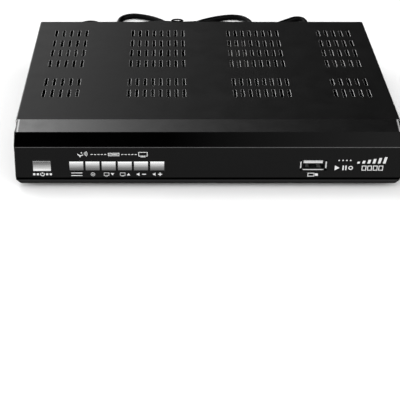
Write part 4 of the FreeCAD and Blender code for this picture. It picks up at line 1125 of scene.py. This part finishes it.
# %% [markdown]
# ## Marks printed on the front
# The keys and the socket need marks, and plain signs do the job without words: a broken ring between dashes
# for standby, bars for the menu, a dot in a ring for select, a screen with an arrow for the channel, and a
# speaker with plus and minus for the volume. A picture could be mapped onto the lens, but shapes stay sharp
# at any size: a mark is a flat, filled 2-D curve, where an outline inside another makes a hole. It becomes a
# mesh as thin as ink and is turned up onto the lens. The ink is pale grey and matt.

# %% Outlines of simple shapes, in millimetres
def arc(radius, start, end, steps=20, x=0.0, y=0.0):
    angles = [math.radians(start + (end - start) * step / steps) for step in range(steps + 1)]
    return [(x + radius * math.cos(angle), y + radius * math.sin(angle)) for angle in angles]


def band(outer, inner, start=0, end=360, x=0.0, y=0.0):
    """The outlines of a ring, or of a part of one."""
    if end - start >= 360:
        return [arc(outer, 0, 350, 35, x, y), arc(inner, 0, 350, 35, x, y)]
    return [arc(outer, start, end, 20, x, y) + arc(inner, end, start, 20, x, y)]


def bar(x0, x1, y0, y1, lean=0.0):
    return [[(x0, y0), (x1, y0), (x1 + lean, y1), (x0 + lean, y1)]]


def disc(radius, x=0.0, y=0.0):
    return [arc(radius, 0, 345, 23, x, y)]


def arrow(direction, half, height, x=0.0, y=0.0):
    """A plain triangle: direction 1 points up and -1 down."""
    return [[(x - half, y - direction * height / 2), (x + half, y - direction * height / 2),
             (x, y + direction * height / 2)]]


def frame_of(x0, x1, y0, y1, wall):
    return bar(x0, x1, y0, y1) + bar(x0 + wall, x1 - wall, y0 + wall, y1 - wall)


def moved(outlines, x, y=0.0):
    return [[(px + x, py + y) for px, py in outline] for outline in outlines]


def in_a_row(count, pitch, outlines):
    """The same outlines again and again, one pitch apart."""
    return [outline for step in range(count) for outline in moved(outlines, pitch * step)]


# %% Print a mark
ink = 0.02 * mm
base_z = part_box("top_cover")[0][2]
marks = []


def mark(name, outlines, across, height):
    """Prints outlines, in millimetres, with their middle at this place on the face."""
    art = bpy.data.curves.new(name, "CURVE")
    art.dimensions = "2D"
    art.fill_mode = "BOTH"
    art.extrude = ink / 2
    for outline in outlines:
        line = art.splines.new("POLY")
        line.points.add(len(outline) - 1)
        for point, (x, y) in zip(line.points, outline):
            point.co = (x * mm, y * mm, 0, 1)
        line.use_cyclic_u = True
    live = bpy.data.objects.new(name, art)
    bpy.context.collection.objects.link(live)
    mesh = plain_mesh(live, name)
    place = Matrix.Translation((across, face_y - ink / 2, height))
    mesh.transform(place @ Matrix.Rotation(math.radians(90), 4, "X"))
    marks.append(mesh)
    print(name, "at", round(across / mm, 1), "and", round(height / mm, 1), "mm")


# %% Marks under the keys
def middle_of(node):
    low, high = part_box(node)
    return (low[0] + high[0]) / 2


dashes = [dash for x in (-5.4, -3.3, 2.0, 4.1) for dash in bar(x, x + 1.3, -0.65, 0.65)]
screen = moved(frame_of(-1.5, 1.5, -0.95, 1.05, 0.24) + bar(-0.8, 0.8, -1.4, -1.2), -1.4)
speaker = [[(-1.1, -0.45), (-0.4, -0.45), (0.4, -1.15), (0.4, 1.15), (-0.4, 0.45), (-1.1, 0.45)]]
speaker = moved(speaker, -1.4)
plus = [[(0.5, -0.3), (1.35, -0.3), (1.35, -1.1), (1.95, -1.1), (1.95, -0.3), (2.8, -0.3), (2.8, 0.3),
         (1.95, 0.3), (1.95, 1.1), (1.35, 1.1), (1.35, 0.3), (0.5, 0.3)]]
signs = {
    "standby": band(1.3, 0.85, 125, 415) + bar(-0.2, 0.2, 0.25, 1.45) + dashes,
    "menu": bar(-3.2, 3.2, 0.65, 1.1) + bar(-3.2, 3.2, -1.1, -0.65),
    "select": band(1.2, 0.95) + disc(0.35),
    "channel_down": screen + arrow(-1, 1.0, 1.5, 2.0),
    "channel_up": screen + arrow(1, 1.0, 1.5, 2.0),
    "volume_down": speaker + bar(0.5, 2.8, -0.3, 0.3),
    "volume_up": speaker + plus,
}
sign_height = base_z + 5.85 * mm
for name, outlines in signs.items():
    mark(name + "_sign", outlines, middle_of(name + "_key"), sign_height)

# %% The strip over the keys: dish, link, receiver, link, screen
strip_x = (middle_of("menu_key") + middle_of("volume_up_key")) / 2 - 2.0 * mm
strip_height = base_z + 18.9 * mm
link = in_a_row(5, 1.9, bar(0, 1.2, -0.2, 0.2))
dish = band(2.0, 1.45, 200, 320, -18.4, 1.0) + bar(-19.1, -18.4, -1.7, -1.1) + disc(0.4, -17.8, 1.1)
for step in range(3):
    inner = 0.9 + 0.75 * step
    dish += band(inner + 0.3, inner, -40, 40, -17.2, 0.4)
box = frame_of(-2.8, 3.6, -1.0, 1.0, 0.36) + disc(0.3, -1.7, 0.0) + bar(-0.9, 2.6, -0.2, 0.2)
wide_screen = frame_of(14.4, 19.6, -1.2, 1.6, 0.36) + bar(15.6, 18.4, -1.75, -1.4)
strip = dish + moved(link, -12.6) + box + moved(link, 4.7) + wide_screen
mark("link_strip", strip, strip_x, strip_height)

# %% Marks at the right: bars for the signal, four blocks, signs for play, pause and record, and dots
upper_height, lower_height = base_z + 15.1 * mm, base_z + 9.95 * mm
signal = []
for step in range(6):
    left = -8.7 + 2.95 * step
    signal += bar(left, left + 1.5, -2.1, -0.9 + 0.6 * step, 0.25 + 0.11 * step)
mark("signal_bars", signal, 93.2 * mm, upper_height)
mark("blocks", in_a_row(4, 3.2, frame_of(-6.2, -3.6, -1.6, 1.6, 0.42)), 93.7 * mm, lower_height)
play = [[(-5.0, -1.6), (-5.0, 1.6), (-2.2, 0.0)]]
pause = bar(-0.6, 0.2, -1.5, 1.5) + bar(1.0, 1.8, -1.5, 1.5)
mark("transport", play + pause + band(1.3, 0.75, x=4.1), 77.1 * mm, lower_height + 0.15 * mm)
mark("dots", in_a_row(4, 2.2, disc(0.42, -3.3)), 77.5 * mm, upper_height - 0.1 * mm)

# %% A plain stick under the socket
stick = frame_of(-3.0, 0.9, -1.2, 1.2, 0.4) + bar(1.2, 2.9, -0.8, 0.8)
mark("stick", stick, usb_x, base_z + 5.6 * mm)

# %% The marks as one piece
white_ink = Finish("white_ink", 0.6, specular=0.3)
white_ink.colours(white_ink.noise(900), grey(0.50), grey(0.60))
white_ink.bump(white_ink.noise(5000, 1.0), 0.002 * mm)
printed_marks = joined("printed_marks", marks)
printed_marks.data.materials.append(white_ink.material)
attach(printed_marks, "root")
print("marks", len(marks), "faces", len(printed_marks.data.polygons))


# %% [markdown]
# ## Threads, ribs and grips
# Some details repeat or follow a path: the thread on a coaxial connector, the ribs on the lead's bush and the
# grip lines on the plug. A bump could suggest them, but they show at an outline, so they are real. Geometry
# nodes make the first two: the thread is a spiral curve swept with a three-sided profile, and the ribs are
# rings, one on each point of a line, scaled down towards the tip. The grip lines are a few short pipes. Each
# tree has named inputs for its sizes, ends in Realize Instances and Set Material, and its result is kept as a
# plain mesh.

# %% Thread tree
thread_tree = Tree("thread", Radius="Float", Length="Float", Turns="Float", Depth="Float", Finish="Material")
spiral = thread_tree.add("GeometryNodeCurveSpiral", Resolution=20, Rotations=thread_tree.value("Turns"),
                         Start_Radius=thread_tree.value("Radius"), End_Radius=thread_tree.value("Radius"),
                         Height=thread_tree.value("Length"))
profile = thread_tree.add("GeometryNodeCurvePrimitiveCircle", Resolution=3, Radius=thread_tree.value("Depth"))
swept = thread_tree.add("GeometryNodeCurveToMesh", Curve=spiral.outputs[0],
                        Profile_Curve=profile.outputs[0], Fill_Caps=True)
thread_tree.finish(swept.outputs[0])

# %% A piece from several meshes that stands for a node
def stand_in(piece_name, node_name, meshes, finish):
    piece = joined(piece_name, meshes)
    piece.data.materials.append(finishes[finish])
    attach(piece, "root")
    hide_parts(node_name)
    print(node_name, "->", len(piece.data.polygons), "faces")
    return piece


def along_y(x, y, z):
    """Turns what was made along Z so that it runs towards the rear from this place."""
    return Matrix.Translation((x, y, z)) @ Matrix.Rotation(math.radians(-90), 4, "X")


# %% Coaxial connectors with their threads
thread_pitch = 0.79 * mm
thread_depth = 0.30 * mm
crest = 4.76 * mm
thread_root = crest - 1.3 * thread_depth
thread_end = 1.1 * thread_depth
nut_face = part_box("f_connector_nuts")[1][1]


def threaded(name):
    """The connector's barrel turned down to the thread's root, with the thread wound on it."""
    low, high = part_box(name)
    x, z = (low[0] + high[0]) / 2, (low[2] + high[2]) / 2
    bm = merged_copy(name)
    for vertex in bm.verts:
        out = math.hypot(vertex.co.x - x, vertex.co.z - z)
        if out > crest * 0.99:
            shrink = thread_root / out
            vertex.co.x = x + (vertex.co.x - x) * shrink
            vertex.co.z = z + (vertex.co.z - z) * shrink
    barrel = mesh_of(bm, name)
    run = high[1] - nut_face - 2 * thread_end
    thread = thread_tree.mesh(name + "_thread", Radius=crest - thread_depth, Length=run,
                              Turns=run / thread_pitch, Depth=thread_depth, Finish=finishes["nickel"])
    thread.transform(along_y(x, nut_face + thread_end, z))
    stand_in(name + "_piece", name, [barrel, thread], "nickel")


threaded("lnb_input")
threaded("loop_output")

# %% The other fittings at the rear
refined("f_connector_nuts", 0.12 * mm)
refined("rca_shells", 0.12 * mm)
refined("hdmi_socket_shell", 0.06 * mm)
refined("cover_screws", 0.08 * mm)

# %% Rib tree
rib_tree = Tree("ribs", Count="Int", Start_radius="Float", End_radius="Float", Length="Float", Rib="Float",
                Finish="Material")
line = rib_tree.add("GeometryNodeMeshLine", {"mode": "END_POINTS"}, Count=rib_tree.value("Count"))
end_point = rib_tree.add("ShaderNodeCombineXYZ", _2=rib_tree.value("Length"))
rib_tree.group.links.new(end_point.outputs[0], line.inputs["Offset"])
index = rib_tree.add("GeometryNodeInputIndex").outputs[0]
share = rib_tree.math("DIVIDE", index, rib_tree.math("SUBTRACT", rib_tree.value("Count"), 1.0))
slope = rib_tree.math("SUBTRACT", rib_tree.value("End_radius"), rib_tree.value("Start_radius"))
radius = rib_tree.math("ADD", rib_tree.value("Start_radius"), rib_tree.math("MULTIPLY", share, slope))
circle = rib_tree.add("GeometryNodeCurvePrimitiveCircle", Resolution=36, Radius=1.0)
spots = rib_tree.add("GeometryNodeInstanceOnPoints", Points=line.outputs[0], Instance=circle.outputs[0])
rib_tree.group.links.new(radius, spots.inputs["Scale"])
rings = rib_tree.add("GeometryNodeRealizeInstances", Geometry=spots.outputs[0])
rib_profile = rib_tree.add("GeometryNodeCurvePrimitiveCircle", Resolution=8, Radius=rib_tree.value("Rib"))
rib_sweep = rib_tree.add("GeometryNodeCurveToMesh", Curve=rings.outputs[0],
                         Profile_Curve=rib_profile.outputs[0])
rib_tree.finish(rib_sweep.outputs[0])

# %% The ribbed bush
boot_x, boot_z = 85.0 * mm, 16.0 * mm
boot_length, boot_root, boot_tip = 25.0 * mm, 5.0 * mm, 2.9 * mm
rib, rib_count, rib_inset = 0.35 * mm, 9, 2 * mm
rib_run = boot_length - 5 * mm
boot_slope = (boot_tip - boot_root) / boot_length
first_radius = boot_root + boot_slope * rib_inset
ribs = rib_tree.mesh("bush_ribs", Count=rib_count, Start_radius=first_radius,
                     End_radius=first_radius + boot_slope * rib_run, Length=rib_run, Rib=rib,
                     Finish=finishes["lead_sheath"])
boot_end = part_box("strain_relief")[1][1]
ribs.transform(along_y(boot_x, boot_end - boot_length + rib_inset, boot_z))
bush_mesh = mesh_of(merged_copy("strain_relief"), "bush")
bush = stand_in("ribbed_bush", "strain_relief", [bush_mesh, ribs], "lead_sheath")

# %% The plug with its grip lines, each longer than the one before it
plug_low, plug_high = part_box("plug_body")
plug_y, plug_width = (plug_low[1] + plug_high[1]) / 2, plug_high[1] - plug_low[1]
grip_count, grip_start, grip_pitch, grip_radius = 6, 8 * mm, 3 * mm, 0.45 * mm
grip_share, grip_growth, grip_dip = 0.16, 0.03, 0.6 * mm
grip_height = plug_high[2] + 0.05 * mm
plug_meshes = [mesh_of(merged_copy("plug_body"), "plug")]
for step in range(grip_count):
    across = plug_low[0] + grip_start + grip_pitch * step
    half = plug_width * (grip_share + grip_growth * step)
    ridge = [(across, plug_y + half * part, grip_height - dip)
             for part, dip in ((-1, grip_dip), (-0.9, 0), (0, 0), (0.9, 0), (1, grip_dip))]
    plug_meshes.append(pipe_mesh("grip", ridge, grip_radius))
plug = stand_in("plug_piece", "plug_body", plug_meshes, "lead_sheath")

# %% Finish the lead and its tie
for piece, finish in ((flex, "lead_sheath"), (tie, "tie_wire")):
    piece.data.materials.append(finishes[finish])
    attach(piece, "root")
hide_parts("mains_lead", "cord_hank")
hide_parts("hank_tie")

# %% [markdown]
# ## Finishes of the table and the wall
# The table is matt paper, almost white, with a faint grain. The wall has to look as bright as the table in
# every view. It could be lit by more lamps, but those would light the receiver too, so it shines by itself.

# %% Finishes of the table and the wall
table_finish = Finish("table_paper", 0.6, specular=0.1)
table_finish.colours(table_finish.noise(3), grey(0.765), grey(0.785))
table_finish.bump(table_finish.noise(900, 1.0), 0.004 * mm)
table_top.data.materials.append(table_finish.material)
wall_glow = 0.75
wall_finish = Finish("wall_paper", 0.9, specular=0.0)
wall_finish.colours(wall_finish.noise(0.5), grey(0.30), grey(0.34))
wall_finish.shader.inputs["Emission Color"].default_value = (1, 1, 1, 1)
wall_finish.shader.inputs["Emission Strength"].default_value = wall_glow
wall.data.materials.append(wall_finish.material)
print("wall glow", wall_glow)
